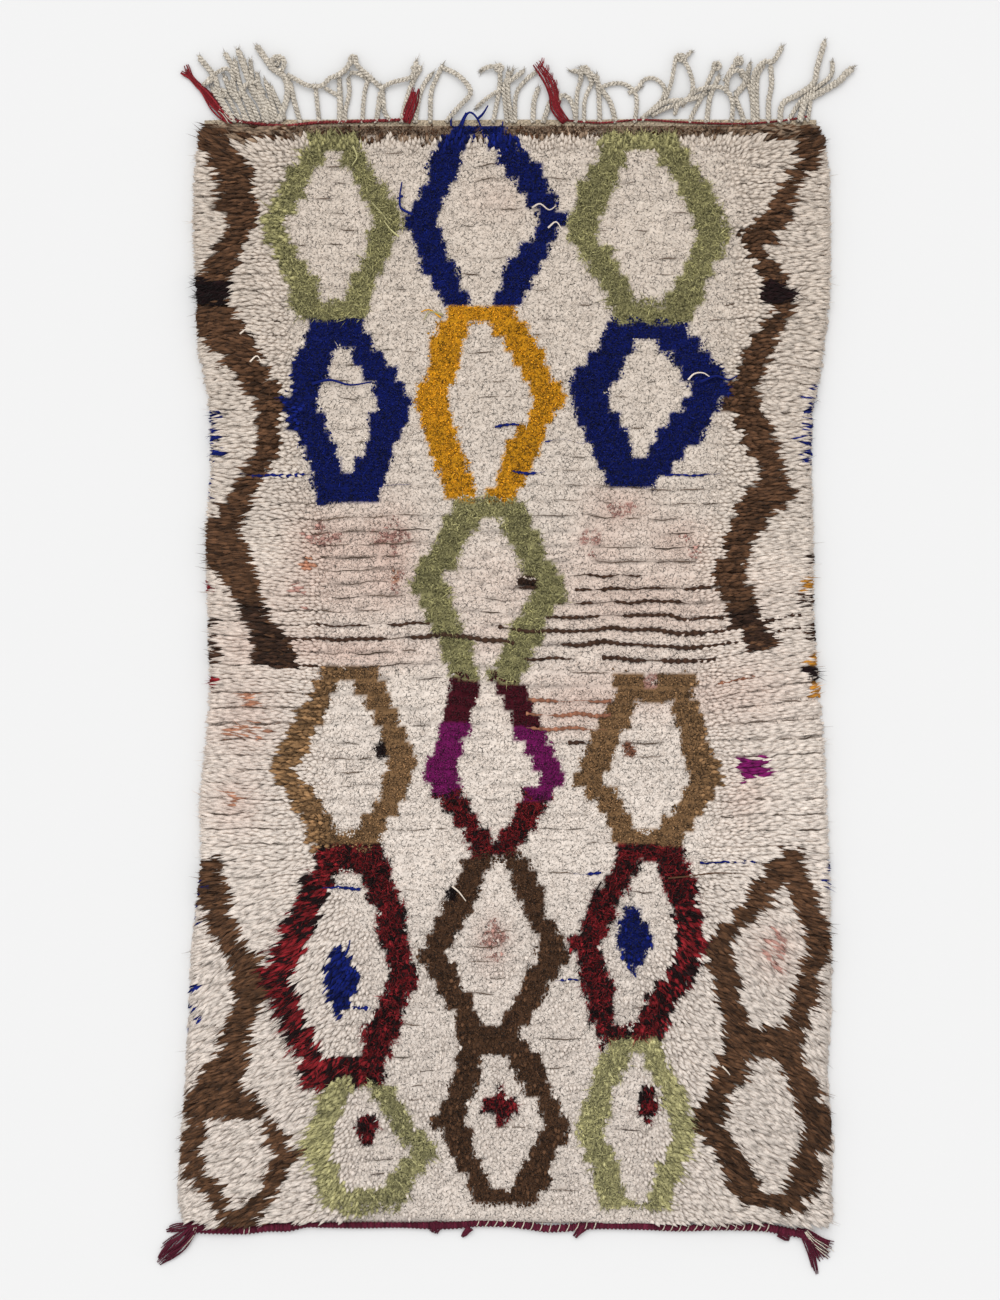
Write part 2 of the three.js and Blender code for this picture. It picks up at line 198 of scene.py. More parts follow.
SELVEDGES = (
    Selvedge("blue", -1, 415, 462, 0.45), Selvedge("blue", -1, 470, 500, 0.25),
    Selvedge("blue", 1, 383, 465, 0.45), Selvedge("madder", -1, 590, 601, 0.6),
    Selvedge("umber", -1, 632, 668, 0.55), Selvedge("madder", -1, 687, 696, 0.6),
    Selvedge("umber", 1, 556, 572, 0.7), Selvedge("ochre", 1, 590, 606, 0.7),
    Selvedge("umber", 1, 608, 660, 0.5), Selvedge("ochre", 1, 670, 684, 0.6),
    Selvedge("black", 1, 688, 700, 0.6), Selvedge("ochre", 1, 702, 714, 0.7),
    Selvedge("blue", 1, 864, 892, 0.3), Selvedge("blue", -1, 874, 918, 0.2),
    Selvedge("blue", -1, 984, 1030, 0.25),
)
SELVEDGE_COLUMNS = 11

# Faint stains where dye has run into the ivory: middle, half size, strength
Stain = namedtuple("Stain", "column line half_width half_height strength")

STAINS = (
    Stain(325, 545, 34, 40, 0.75), Stain(388, 550, 30, 44, 0.85), Stain(345, 600, 110, 26, 0.35),
    Stain(345, 655, 80, 16, 0.75), Stain(620, 505, 34, 22, 0.6), Stain(678, 540, 30, 24, 0.55),
    Stain(600, 545, 30, 26, 0.45), Stain(640, 605, 100, 40, 0.55), Stain(620, 690, 95, 26, 0.45),
    Stain(570, 715, 45, 22, 0.5), Stain(245, 725, 36, 36, 0.45), Stain(236, 805, 26, 26, 0.5),
    Stain(490, 640, 40, 20, 0.35), Stain(740, 700, 60, 30, 0.35), Stain(745, 795, 22, 26, 0.4),
    Stain(492, 945, 18, 28, 0.5), Stain(775, 945, 22, 26, 0.5), Stain(500, 200, 30, 22, 0.25),
    Stain(250, 650, 40, 30, 0.3), Stain(510, 575, 60, 30, 0.2),
)
STAIN_TINT = np.array((0.86, 0.72, 0.69))


def stain_strength(column, line):
    """How strongly run dye tints the ivory at places on the chart."""
    total = np.zeros(np.shape(column))
    for stain in STAINS:
        across = (column - stain.column) / stain.half_width
        along = (line - stain.line) / stain.half_height
        total += stain.strength * np.exp(-(across**2 + along**2))
    return np.clip(total, 0, 1.2)


def in_lozenge(lozenge, column, line):
    """Whether places on the chart lie on a lozenge's arms or closed ends."""
    upper = line <= lozenge.side
    down = (line - lozenge.top) / (lozenge.side - lozenge.top)
    back = (lozenge.bottom - line) / (lozenge.bottom - lozenge.side)
    share = np.where(upper, down, back)
    left = np.where(upper, lozenge.top_left, lozenge.bottom_left) * (1 - share) + lozenge.left * share
    right = np.where(upper, lozenge.top_right, lozenge.bottom_right) * (1 - share) + lozenge.right * share
    inside = (share >= 0) & (column >= left) & (column <= right)
    on_arm = (column - left < lozenge.arm) | (right - column < lozenge.arm)
    on_cap = (line - lozenge.top < lozenge.top_cap) | (lozenge.bottom - line < lozenge.bottom_cap)
    return inside & (on_arm | on_cap)


def in_zigzag(turns, column, line):
    """Whether places on the chart lie on a zigzag."""
    table = np.array(turns, dtype=float)
    left = np.interp(line, table[:, 0], table[:, 1])
    right = np.interp(line, table[:, 0], table[:, 2])
    return (line >= table[0, 0]) & (line <= table[-1, 0]) & (column >= left) & (column <= right)


def in_patch(patch, column, line):
    """Whether places on the chart lie in a small motif, filled as a box or a diamond."""
    across = np.abs(column - patch.column) / patch.half_width
    along = np.abs(line - patch.line) / patch.half_height
    return np.where(patch.diamond, across + along, np.maximum(across, along)) <= 1


# The middle lozenge of the fourth row changes its dye twice on the way down
PURPLE_FROM = 729
MADDER_FROM = 793
BROWN_EDGE_LINE = 142.5
DUN_IN_EDGE = 0.55
DARK_BROWN_LINES = (612, 690)
DARK_IN_BROWN = 0.8
BLACK_IN_MADDER = 0.48


def charted_yarn(column, line, chance):
    """The yarn of each knot, from its place on the chart and a chance between 0 and 1."""
    yarn = np.full(column.shape, IVORY)
    for trace in TRACES:
        patch = Patch(trace.yarn, trace.column, trace.line, trace.half_width, trace.half_height, 1)
        yarn[in_patch(patch, column, line) & (chance < trace.share)] = YARN_INDEX[trace.yarn]
    for turns in ZIGZAGS:
        yarn[in_zigzag(turns, column, line)] = YARN_INDEX["brown"]
    for lozenge in LOZENGES:
        yarn[in_lozenge(lozenge, column, line)] = YARN_INDEX[lozenge.yarn]
    for patch in PATCHES:
        yarn[in_patch(patch, column, line)] = YARN_INDEX[patch.yarn]
    changing = yarn == YARN_INDEX["burgundy"]
    yarn[changing & (line > PURPLE_FROM)] = YARN_INDEX["purple"]
    yarn[changing & (line > MADDER_FROM)] = YARN_INDEX["madder"]
    dark = (line > DARK_BROWN_LINES[0]) & (line < DARK_BROWN_LINES[1]) & (chance < DARK_IN_BROWN)
    yarn[dark & (yarn == YARN_INDEX["brown"])] = YARN_INDEX["umber"]
    edge = (line < BROWN_EDGE_LINE) & (yarn == IVORY)
    yarn[edge] = np.where(chance < DUN_IN_EDGE, YARN_INDEX["dun"], YARN_INDEX["brown"])[edge]
    yarn[(yarn == YARN_INDEX["madder"]) & (chance < BLACK_IN_MADDER)] = YARN_INDEX["black"]
    left, right = side_columns(line)
    for selvedge in SELVEDGES:
        inset = column - left if selvedge.side < 0 else right - column
        here = (inset < SELVEDGE_COLUMNS) & (line > selvedge.first) & (line < selvedge.last)
        yarn[here & (chance < selvedge.share)] = YARN_INDEX[selvedge.yarn]
    return yarn


# Meshes of many small things, joined from arrays

YARN_TONE = "yarn_tone"
BAKE_MAP = "OFBake"
FLOOR_CLEARANCE = 0.2 * MM


def placed(name, data):
    """A new object in the scene."""
    thing = bpy.data.objects.new(name, data)
    bpy.context.collection.objects.link(thing)
    return thing


def give_tones(mesh, tones):
    """Stores the tone of the yarn at each point of a mesh."""
    tone = mesh.color_attributes.new(YARN_TONE, "FLOAT_COLOR", "POINT")
    tone.data.foreach_set("color", np.column_stack((tones, np.ones(len(tones)))).astype(np.float32).ravel())


def array_mesh(name, points, faces, tones, corners):
    """One object from arrays: points, equal-sided faces, a tone per point and a map place per corner."""
    mesh = bpy.data.meshes.new(name)
    sizes = np.concatenate([np.full(len(f), f.shape[1]) for f in faces])
    loops = np.concatenate([f.ravel() for f in faces])
    mesh.vertices.add(len(points))
    points = np.column_stack((points[:, :2], np.maximum(points[:, 2], FLOOR_CLEARANCE)))
    mesh.vertices.foreach_set("co", points.astype(np.float32).ravel())
    mesh.loops.add(len(loops))
    mesh.loops.foreach_set("vertex_index", loops.astype(np.int32))
    mesh.polygons.add(len(sizes))
    mesh.polygons.foreach_set("loop_start", np.concatenate(([0], np.cumsum(sizes)[:-1])).astype(np.int32))
    mesh.polygons.foreach_set("loop_total", sizes.astype(np.int32))
    mesh.update(calc_edges=True)
    mesh.shade_smooth()
    uv = mesh.uv_layers.new(name=BAKE_MAP)
    places = np.concatenate([corner.reshape(-1, 2) for corner in corners])
    uv.data.foreach_set("uv", places.astype(np.float32).ravel())
    give_tones(mesh, tones)
    mesh.validate()
    return placed(name, mesh)


def map_cells(count):
    """Lower left corners and the side of one small cell of the map for each of many pieces."""
    across = math.ceil(math.sqrt(count))
    number = np.arange(count)
    side = 1.0 / across
    return np.column_stack((number % across, number // across)) * side, side


LOCK_SIDES = 4
CELL_MARGIN = 0.08
CELL_FOOT = 0.16
CELL_SHOULDER = 0.6
FOOT_PLACE = 0.06
FOOT_RADIUS = 0.05
OFF_AXIS = np.array((0.31, 0.17, 0.94))


def ring_points(centre, along, width, sides, turn):
    """A ring of points round each of many centres, across the given directions."""
    side = np.cross(along, OFF_AXIS)
    side /= np.linalg.norm(side, axis=1, keepdims=True)
    other = np.cross(along, side)
    angle = turn[:, None] + 2 * math.pi * np.arange(sides) / sides
    out = np.cos(angle)[..., None] * side[:, None] + np.sin(angle)[..., None] * other[:, None]
    return centre[:, None] + out * width[:, None, None] / 2


def map_faces(*corners):
    """Faces of a small map, from the places of each of their corners."""
    return np.stack([np.column_stack(corner) for corner in corners], axis=1)


def cell_corners(cells, cell_side, shape):
    """The corners of one small shape repeated in every cell of the map."""
    inner = CELL_MARGIN + shape[None] * (1 - 2 * CELL_MARGIN)
    return cells[:, None, None, :] + inner * cell_side


def lock_piece(name, root, tip, shoulder, root_width, shoulder_width, root_tone, shoulder_tone, tip_tone):
    """Many locks of wool as one piece: each widens from its root to a shoulder and closes at its tip."""
    count = len(root)
    along = tip - root
    along /= np.linalg.norm(along, axis=1, keepdims=True)
    turn = rng.uniform(0, 2 * math.pi, count)
    middle = root + (tip - root) * shoulder[:, None]
    lower = ring_points(root, along, root_width, LOCK_SIDES, turn)
    upper = ring_points(middle, along, shoulder_width, LOCK_SIDES, turn)
    points = np.concatenate((lower, upper, tip[:, None]), axis=1)
    tones = np.concatenate((
        np.repeat(root_tone[:, None], LOCK_SIDES, axis=1),
        np.repeat(shoulder_tone[:, None], LOCK_SIDES, axis=1),
        tip_tone[:, None],
    ), axis=1)
    first = (np.arange(count) * (2 * LOCK_SIDES + 1))[:, None, None]
    k = np.arange(LOCK_SIDES)
    after = (k + 1) % LOCK_SIDES
    flanks = np.column_stack((k, after, after + LOCK_SIDES, k + LOCK_SIDES))[None] + first
    peak = np.full(LOCK_SIDES, 2 * LOCK_SIDES)
    crown = np.column_stack((k + LOCK_SIDES, after + LOCK_SIDES, peak))[None] + first
    foot = k[::-1][None, None] + first
    cells, cell_side = map_cells(count)
    u0, u1 = k / LOCK_SIDES, (k + 1) / LOCK_SIDES
    low, bend, high = (np.full(LOCK_SIDES, v) for v in (CELL_FOOT, CELL_SHOULDER, 1.0))
    flank_map = map_faces((u0, low), (u1, low), (u1, bend), (u0, bend))
    crown_map = map_faces((u0, bend), (u1, bend), ((u0 + u1) / 2, high))
    angle = 2 * math.pi * k / LOCK_SIDES
    foot_map = (FOOT_PLACE + FOOT_RADIUS * np.column_stack((np.cos(angle), np.sin(angle))))[None]
    corners = [cell_corners(cells, cell_side, shape) for shape in (flank_map, crown_map, foot_map)]
    faces = [flanks.reshape(-1, 4), crown.reshape(-1, 3), foot.reshape(-1, LOCK_SIDES)]
    return array_mesh(name, points.reshape(-1, 3), faces, tones.reshape(-1, 3), corners)


STRAND_SIDES = 3


def strand_piece(name, root, tip, width, root_tone, tip_tone):
    """Many thin pointed strands of wool as one piece."""
    count = len(root)
    along = tip - root
    along /= np.linalg.norm(along, axis=1, keepdims=True)
    lower = ring_points(root, along, width, STRAND_SIDES, rng.uniform(0, 2 * math.pi, count))
    points = np.concatenate((lower, tip[:, None]), axis=1)
    tones = np.concatenate((np.repeat(root_tone[:, None], STRAND_SIDES, axis=1), tip_tone[:, None]), axis=1)
    first = (np.arange(count) * (STRAND_SIDES + 1))[:, None, None]
    k = np.arange(STRAND_SIDES)
    flanks = np.column_stack((k, (k + 1) % STRAND_SIDES, np.full(STRAND_SIDES, STRAND_SIDES)))[None] + first
    foot = k[::-1][None, None] + first
    cells, cell_side = map_cells(count)
    low, high = np.full(STRAND_SIDES, CELL_FOOT), np.ones(STRAND_SIDES)
    u0, u1 = k / STRAND_SIDES, (k + 1) / STRAND_SIDES
    flank_map = map_faces((u0, low), (u1, low), ((u0 + u1) / 2, high))
    foot_map = np.array([[(0.1, 0.0), (0.4, 0.0), (0.25, CELL_FOOT / 2)]])
    corners = [cell_corners(cells, cell_side, shape) for shape in (flank_map, foot_map)]
    faces = [flanks.reshape(-1, 3), foot.reshape(-1, 3)]
    return array_mesh(name, points.reshape(-1, 3), faces, tones.reshape(-1, 3), corners)


# Rows of knots

ROW_PITCH = np.array(((131, 15.4), (480, 15.2), (590, 13.8), (690, 13.8), (790, 14.8), (1215, 15.2)))
FIRST_ROW_LINE = 128
LAST_ROW_LINE = 1216
PILE_FIRST_LINE = 126.5
LOCK_COLUMNS = 4.0
LOCK_COURSES = (-0.68, -0.22, 0.22, 0.68)
TUFT_COLUMNS = 2.7
TUFT_COURSES = (-0.82, -0.49, -0.16, 0.16, 0.49, 0.82)
ROOT_INSET_COLUMNS = 4.0
GROUND_TOP = 3.0 * MM
PACKED_WOOL = 10.0 * MM
ROW_DIP = 2.5 * MM
UPRIGHT_REACH = 2.2 * MM
LYING_REACH = 29 * MM
UPRIGHT_RISE = 5.0 * MM
IVORY_RISE = 2.6 * MM
LYING_RISE = 6 * MM
LOCK_WIDTH = 7.2 * MM
LOCK_ROOT_SHARE = 0.65
LOCK_SHOULDER = 0.5
LOCK_ROOT_DEPTH = 2.5 * MM
LYING_FIBRES = 0.7
TUFT_WIDTH = 6.0 * MM
TUFT_ROOT_DEPTH = 1.0 * MM
TUFT_LEAN_REACH = 8 * MM
STANDING_FIBRES = 0.55
PARTED_FROM = 0.66
PARTED_SHARE = 0.85
# Painted shade darkens the roots and shoulders of the locks and the roots of the tufts, deep in the pile, and
# painted light brightens their tips
LOCK_ROOT_PAINTED_SHADE = 0.68
LOCK_SHOULDER_PAINTED_SHADE = 0.97
TUFT_ROOT_PAINTED_SHADE = 0.93
DYED_TUFT_ROOT_PAINTED_SHADE = 0.44
TUFT_TIP_PAINTED_LIGHT = 1.08
LOCK_TIP_PAINTED_LIGHT = 1.04


def row_pitch(line):
    """Lines from one row of knots to the next."""
    return np.interp(line, ROW_PITCH[:, 0], ROW_PITCH[:, 1])


def row_lines():
    """The plain line of every row of knots, from the upper end down."""
    lines = [float(FIRST_ROW_LINE)]
    while lines[-1] <= LAST_ROW_LINE:
        lines.append(lines[-1] + row_pitch(lines[-1]))
    return np.array(lines[:-1])


ROW_LINES = row_lines()
DRIFT_WAVES = 6


def smooth_step(low, high, value):
    """0 below low, 1 above high, and a soft rise between."""
    share = np.clip((value - low) / (high - low), 0, 1)
    return share * share * (3 - 2 * share)


def drift(column, line, seed, fineness=0.018):
    """A slow random swell between -1 and 1 over the chart, from a few waves."""
    waves = np.random.default_rng(SEED + seed)
    total = np.zeros(np.broadcast(column, line).shape)
    for _ in range(DRIFT_WAVES):
        across, along = waves.normal(0, fineness, 2)
        total += np.sin(column * across + line * along + waves.uniform(0, 2 * math.pi))
    return total / 3.0


# Lines over which the rows of knots begin to hang slack and end it, and how far they rise at either side
SLACK_BEGINS = (520, 600)
SLACK_ENDS = (690, 760)
LEFT_RISE = 8
LEFT_RISE_COLUMNS = (430, 560)
RIGHT_RISE = 17
RIGHT_RISE_COLUMNS = (690, 830)


def row_line(line, column):
    """The wavy course of a row of knots: it rises towards both sides in the middle of the rug."""
    slack = smooth_step(*SLACK_BEGINS, line) * (1 - smooth_step(*SLACK_ENDS, line))
    right = RIGHT_RISE * smooth_step(*RIGHT_RISE_COLUMNS, column)
    left = LEFT_RISE * (1 - smooth_step(*LEFT_RISE_COLUMNS, column))
    rise = (right + left) * slack
    return line + 2.2 * drift(column, line * 1.4, 1) + 1.3 * drift(column, line * 0.7, 4, 0.10) - rise


Wool = namedtuple("Wool", "column line plain_line row off_row")


def keep(wool, chosen):
    """Some of the places."""
    return Wool(*(part[chosen] for part in wool))


def plant_rows(spacing, courses):
    """Places for wool along every row of knots, in several courses to a row."""
    columns, offs, plain, numbers = [], [], [], []
    for number, line in enumerate(ROW_LINES):
        left, right = side_columns(line)
        count = int((right - left - 2 * ROOT_INSET_COLUMNS) / spacing)
        for course, off in enumerate(courses):
            shift = (course % 2) * spacing / 2
            column = np.linspace(left + ROOT_INSET_COLUMNS, right - ROOT_INSET_COLUMNS, count) + shift
            columns.append(column + rng.normal(0, 0.22 * spacing, count))
            offs.append(off + rng.normal(0, 0.08, count))
            plain.append(np.full(count, line))
            numbers.append(np.full(count, number))
    column, off_row, plain_line, row = (np.concatenate(part) for part in (columns, offs, plain, numbers))
    line = row_line(plain_line, column) + off_row * row_pitch(plain_line) / 2
    wool = Wool(column, line, plain_line, row, off_row)
    edge = PILE_FIRST_LINE + rng.normal(0, 1.2, len(column))
    return keep(wool, wool.line > edge)


# Lines over which the open middle rows begin, close up again and give way to the lower rows
MIDDLE_ROWS_BEGIN = (470, 560)
ROWS_CLOSE_UP = (680, 780)
LOWER_ROWS_BEGIN = (820, 960)
CLOSED_SHARE = 0.65
SIDES_LIE_FROM = 0.55
EDGE_LEAN = 0.4
EDGE_LEAN_BEGINS = (127, 146)
EDGE_LEAN_ENDS = (138, 172)


def lower_rows(line):
    """1 in the lower part of the rug, where the pile lies down, and 0 above it."""
    return smooth_step(*LOWER_ROWS_BEGIN, line)


def middle_rows(line):
    """1 in the middle rows, where the ground shows between the knots, and 0 above and below them."""
    return smooth_step(*MIDDLE_ROWS_BEGIN, line) * (1 - lower_rows(line))


def pile_lay(column, line):
    """How the pile lies: to the sides, up or down, and how far its rows are combed apart."""
    left, right = side_columns(line)
    across = (column - (left + right) / 2) / ((right - left) / 2)
    lower = lower_rows(line)
    middle = middle_rows(line)
    starts = SIDES_LIE_FROM - 0.08 * middle - 0.20 * lower
    sideways = np.sign(across) * smooth_step(0, 0.42, np.abs(across) - starts)
    at_edge = EDGE_LEAN * (1 - smooth_step(*EDGE_LEAN_ENDS, line)) * smooth_step(*EDGE_LEAN_BEGINS, line)
    upward = 0.08 * middle * (1 - np.abs(sideways)) + at_edge
    downward = lower * (0.20 + 0.30 * np.abs(sideways))
    combed = middle * (1 - CLOSED_SHARE * smooth_step(*ROWS_CLOSE_UP, line))
    return sideways, upward - downward, combed


def packed_height(column, line, off_row):
    """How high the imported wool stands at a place, lower between the rows and towards the sides."""
    left, right = side_columns(line)
    rim = np.minimum(column - left, right - column) * CHART_STEP
    packed = smooth_step(2 * MM, 24 * MM, rim) * (1 - smooth_step(1.0, 1.5, off_row))
    sideways, _, combed = pile_lay(column, line)
    dip = ROW_DIP * (0.5 + 0.9 * combed + 0.7 * np.abs(sideways)) * np.clip(off_row, 0, 1) ** 4
    return GROUND_TOP + packed * (PACKED_WOOL - dip + 1.6 * MM * drift(column, line, 2))


# The ivory is darker and greyer towards the upper end, lighter and bluer towards the lower end, and lighter
# in the middle rows
UPPER_SHADE = np.array((0.84, 0.84, 0.85))
LOWER_SHADE = np.array((0.92, 0.94, 0.99))
MIDDLE_LIGHT = 0.06
# Painted light: ivory locks that lie flat are made lighter than the standing ivory
LYING_PAINTED_LIGHT = 1.06


def wool_tone(yarn, column, line):
    """Tone of a yarn at a place, the ivory tinted where dye has run and greyer towards the upper end."""
    ivory = yarn == IVORY
    strength = np.where(ivory, stain_strength(column, line), 0)[:, None]
    lengthwise_tint = UPPER_SHADE + (LOWER_SHADE - UPPER_SHADE) * smooth_step(250, 850, line)[:, None]
    lengthwise_tint = lengthwise_tint + MIDDLE_LIGHT * middle_rows(line)[:, None]
    return YARN_TONES[yarn] * STAIN_TINT**strength * np.where(ivory[:, None], lengthwise_tint, 1.0)


ROW_STEP_COLUMNS = 3.4
IVORY_SWELL = 0.03
DYED_SWELL = 0.14


def row_step(column, plain_line):
    """How far each row of knots carries the pattern to the side, so that its edges step from row to row."""
    return ROW_STEP_COLUMNS * drift(column, plain_line * 7.3, 14, 0.05)


def dyed_tone(wool, shift, jitter):
    """Yarn and tone of wool at its places: the chart is read where the wool ends, with a wavering edge."""
    pitch = row_pitch(wool.plain_line)
    column = wool.column + shift + row_step(wool.column, wool.plain_line)
    column = column + 2.2 * drift(wool.column, wool.line, 6, 0.22)
    line = wool.plain_line + 0.25 * wool.off_row * pitch + 2.4 * drift(wool.column, wool.line, 7, 0.22)
    count = len(column)
    yarn = charted_yarn(column + rng.normal(0, jitter, count), line, rng.uniform(0, 1, count))
    shade = 1 + YARN_SPREADS[yarn] * rng.normal(0, 1, count)
    swell = np.where(yarn == IVORY, IVORY_SWELL, DYED_SWELL)
    shade = shade + swell * drift(wool.column, wool.line, 3, 0.06)
    return yarn, wool_tone(yarn, column, line) * np.clip(shade, 0.35, 1.7)[:, None]


def how_flat(wool):
    """Direction and lean of the pile at each place, and how far it has laid itself down, 0 to 1."""
    sideways, along, _ = pile_lay(wool.column, wool.line)
    lean = np.clip(np.hypot(sideways, along), 0, 1)
    return np.arctan2(along, sideways), lean, smooth_step(0.12, 0.55, lean)


def rim_distance(wool):
    """How far each place is from the nearer side of the rug."""
    left, right = side_columns(wool.line)
    return np.minimum(wool.column - left, right - wool.column) * CHART_STEP


def lying_locks():
    """Locks that lie over to one side, up or down: a piece for each family of yarns and band of rows."""
    wool = plant_rows(LOCK_COLUMNS, LOCK_COURSES)
    flat = how_flat(wool)[2]
    wool = keep(wool, rng.uniform(0, 1, len(flat)) < 1.6 * flat)
    count = len(wool.column)
    angle, lean, _ = how_flat(wool)
    stray = 1 - 0.65 * pile_lay(wool.column, wool.line)[2]
    angle = angle + stray * (rng.normal(0, 0.12, count) + 0.20 * drift(wool.column, wool.line, 11, 0.045))
    reach = (UPRIGHT_REACH + (LYING_REACH - UPRIGHT_REACH) * lean) * rng.uniform(0.7, 1.3, count)
    near_rim = 1 - smooth_step(6 * MM, 30 * MM, rim_distance(wool))
    rise = LYING_RISE * rng.uniform(0.7, 1.2, count) * (1 - 0.7 * near_rim)
    left, right = side_columns(wool.line)
    spill = rng.normal(0.2, 0.8, count)
    end_column = np.clip(wool.column + np.cos(angle) * reach / CHART_STEP, left - spill, right + spill)
    end_line = wool.line - np.sin(angle) * reach / CHART_STEP
    bed = packed_height(wool.column, wool.line, np.abs(wool.off_row))
    root = np.column_stack((*chart_xy(wool.column, wool.line), np.maximum(bed - LOCK_ROOT_DEPTH, 1.5 * MM)))
    tip = np.column_stack((*chart_xy(end_column, end_line), np.maximum(bed + rise, 4 * MM)))
    shoulder = LOCK_SHOULDER + rng.normal(0, 0.03, count)
    width = LOCK_WIDTH * rng.uniform(0.8, 1.2, count)
    yarn, tone = dyed_tone(wool, 0.55 * (end_column - wool.column), 1.0)
    # Painted light on the ivory locks that lie flat
    tone[yarn == IVORY] *= LYING_PAINTED_LIGHT
    pieces = []
    for name, pick in yarn_bands(yarn, wool.row):
        # Painted shade at each lock's root and shoulder, painted light at its tip
        pieces.append(lock_piece(
            name, root[pick], tip[pick], shoulder[pick], LOCK_ROOT_SHARE * width[pick], width[pick],
            tone[pick] * LOCK_ROOT_PAINTED_SHADE, tone[pick] * LOCK_SHOULDER_PAINTED_SHADE, tone[pick] * LOCK_TIP_PAINTED_LIGHT,
        ))
    return pieces + fine_fibres("lying", root, tip, tone, yarn, near_rim < 0.5, LYING_FIBRES)


def standing_tufts():
    """Short cut ends of wool that stand close together in the middle of the rug."""
    wool = plant_rows(TUFT_COLUMNS, TUFT_COURSES)
    flat = how_flat(wool)[2]
    parted = PARTED_SHARE * pile_lay(wool.column, wool.line)[2] * (np.abs(wool.off_row) > PARTED_FROM)
    wool = keep(wool, rng.uniform(0, 1, len(flat)) > np.maximum(flat, parted))
    count = len(wool.column)
    angle, lean, _ = how_flat(wool)
    reach = UPRIGHT_REACH * rng.uniform(0, 1.4, (count, 1)) + TUFT_LEAN_REACH * lean[:, None]
    angle = angle + rng.uniform(-math.pi, math.pi, count) * (1 - smooth_step(0.0, 0.3, lean))
    bed = packed_height(wool.column, wool.line, np.abs(wool.off_row))
    root = np.column_stack((*chart_xy(wool.column, wool.line), bed - TUFT_ROOT_DEPTH))
    away = np.column_stack((np.cos(angle), np.sin(angle))) * reach
    yarn, tone = dyed_tone(wool, 0.0, 0.8)
    rise = np.where(yarn == IVORY, IVORY_RISE, UPRIGHT_RISE) * rng.uniform(0.6, 1.3, count)
    tip = root + np.column_stack((away, rise))
    width = TUFT_WIDTH * rng.uniform(0.8, 1.25, count)
    pieces = []
    for name, pick in yarn_bands(yarn, wool.row):
        name = name.replace("pile", "tufts")
        # Painted shade at each tuft's root, painted light at its tip
        shade = TUFT_ROOT_PAINTED_SHADE if "ivory" in name else DYED_TUFT_ROOT_PAINTED_SHADE
        root_tone = tone[pick] * shade
        tip_tone = tone[pick] * TUFT_TIP_PAINTED_LIGHT
        pieces.append(strand_piece(name, root[pick], tip[pick], width[pick], root_tone, tip_tone))
    everywhere = np.ones(count, dtype=bool)
    return pieces + fine_fibres("standing", root, tip, tone, yarn, everywhere, STANDING_FIBRES)


# Fine fibres that stand off the wool, so many to a lock of each yarn
FIBRES_PER_LOCK = {
    "ivory": 0.16, "green": 5.2, "sage": 5.2, "brown": 1.0, "dun": 2.4, "madder": 4.0, "black": 4.0,
}
OTHER_FIBRES = 0.7
# Painted shade at the fibres' roots and painted light at their tips
FIBRE_ROOT_PAINTED_SHADE = 0.85
FIBRE_TIP_PAINTED_LIGHT = 1.1
FIBRE_WIDTH = 1.7 * MM
FIBRE_STRAY = np.array((4.2, 4.2, 1.2)) * MM
LONG_YARNS = [YARN_INDEX[name] for name in ("madder", "black", "green", "sage")]
LONG_STRAY = 1.5


def fine_fibres(kind, root, tip, tone, yarn, inner, share):
    """Thin strands that stand off the wool, more of them on the wiry dyed yarns."""
    amounts = share * np.array([FIBRES_PER_LOCK.get(each.name, OTHER_FIBRES) for each in YARNS])
    ivory = yarn == IVORY
    pieces = []
    for name, chosen in ((f"{kind}_fibres_ivory", ivory), (f"{kind}_fibres_dyed", ~ivory)):
        weight = np.where(chosen & inner, amounts[yarn], 0.0)
        owner = np.sort(rng.choice(len(yarn), int(weight.sum()), p=weight / weight.sum()))
        n = len(owner)
        axis = tip[owner] - root[owner]
        start = root[owner] + axis * rng.uniform(0.35, 0.7, (n, 1)) + rng.normal(0, 1.6 * MM, (n, 3))
        wild = np.where(np.isin(yarn[owner], LONG_YARNS), LONG_STRAY, 1.0)[:, None]
        end = start + axis * rng.uniform(0.5, 0.8, (n, 1)) + rng.normal(0, 1, (n, 3)) * FIBRE_STRAY * wild
        end[:, 2] = np.maximum(end[:, 2], start[:, 2] - 1 * MM)
        shade = np.clip(1 + 0.30 * rng.normal(0, 1, (n, 1)), 0.45, 2.0)
        width = FIBRE_WIDTH * rng.uniform(0.8, 1.3, n)
        hue = tone[owner] * shade
        # Painted shade at each fibre's root, painted light at its tip
        pieces.append(strand_piece(name, start, end, width, hue * FIBRE_ROOT_PAINTED_SHADE, hue * FIBRE_TIP_PAINTED_LIGHT))
    return pieces


# The ground: a thin weave that the knots are tied on, raised under the rows where the wool is packed

GROUND_COLUMNS = 150
GROUND_LINES = 290
GROUND_FIRST_LINE = 126
GROUND_LAST_LINE = 1224
GROUND_INSET_COLUMNS = 2
# Painted shade on the ground where it shows between the knots, darker under dyed wool and darkest in the
# valleys between rows
GROUND_PAINTED_SHADE = 0.96
DYED_GROUND_PAINTED_SHADE = 0.68
VALLEY_PAINTED_SHADE = 0.42


def knot_row(column, line):
    """The plain line of the row of knots nearest to a place, and how far off it is in half pitches."""
    plain = 2 * line - row_line(line, column)
    nearest = ROW_LINES[np.argmin(np.abs(plain[:, None] - ROW_LINES), axis=1)]
    return nearest, np.abs(plain - nearest) / row_pitch(nearest) * 2


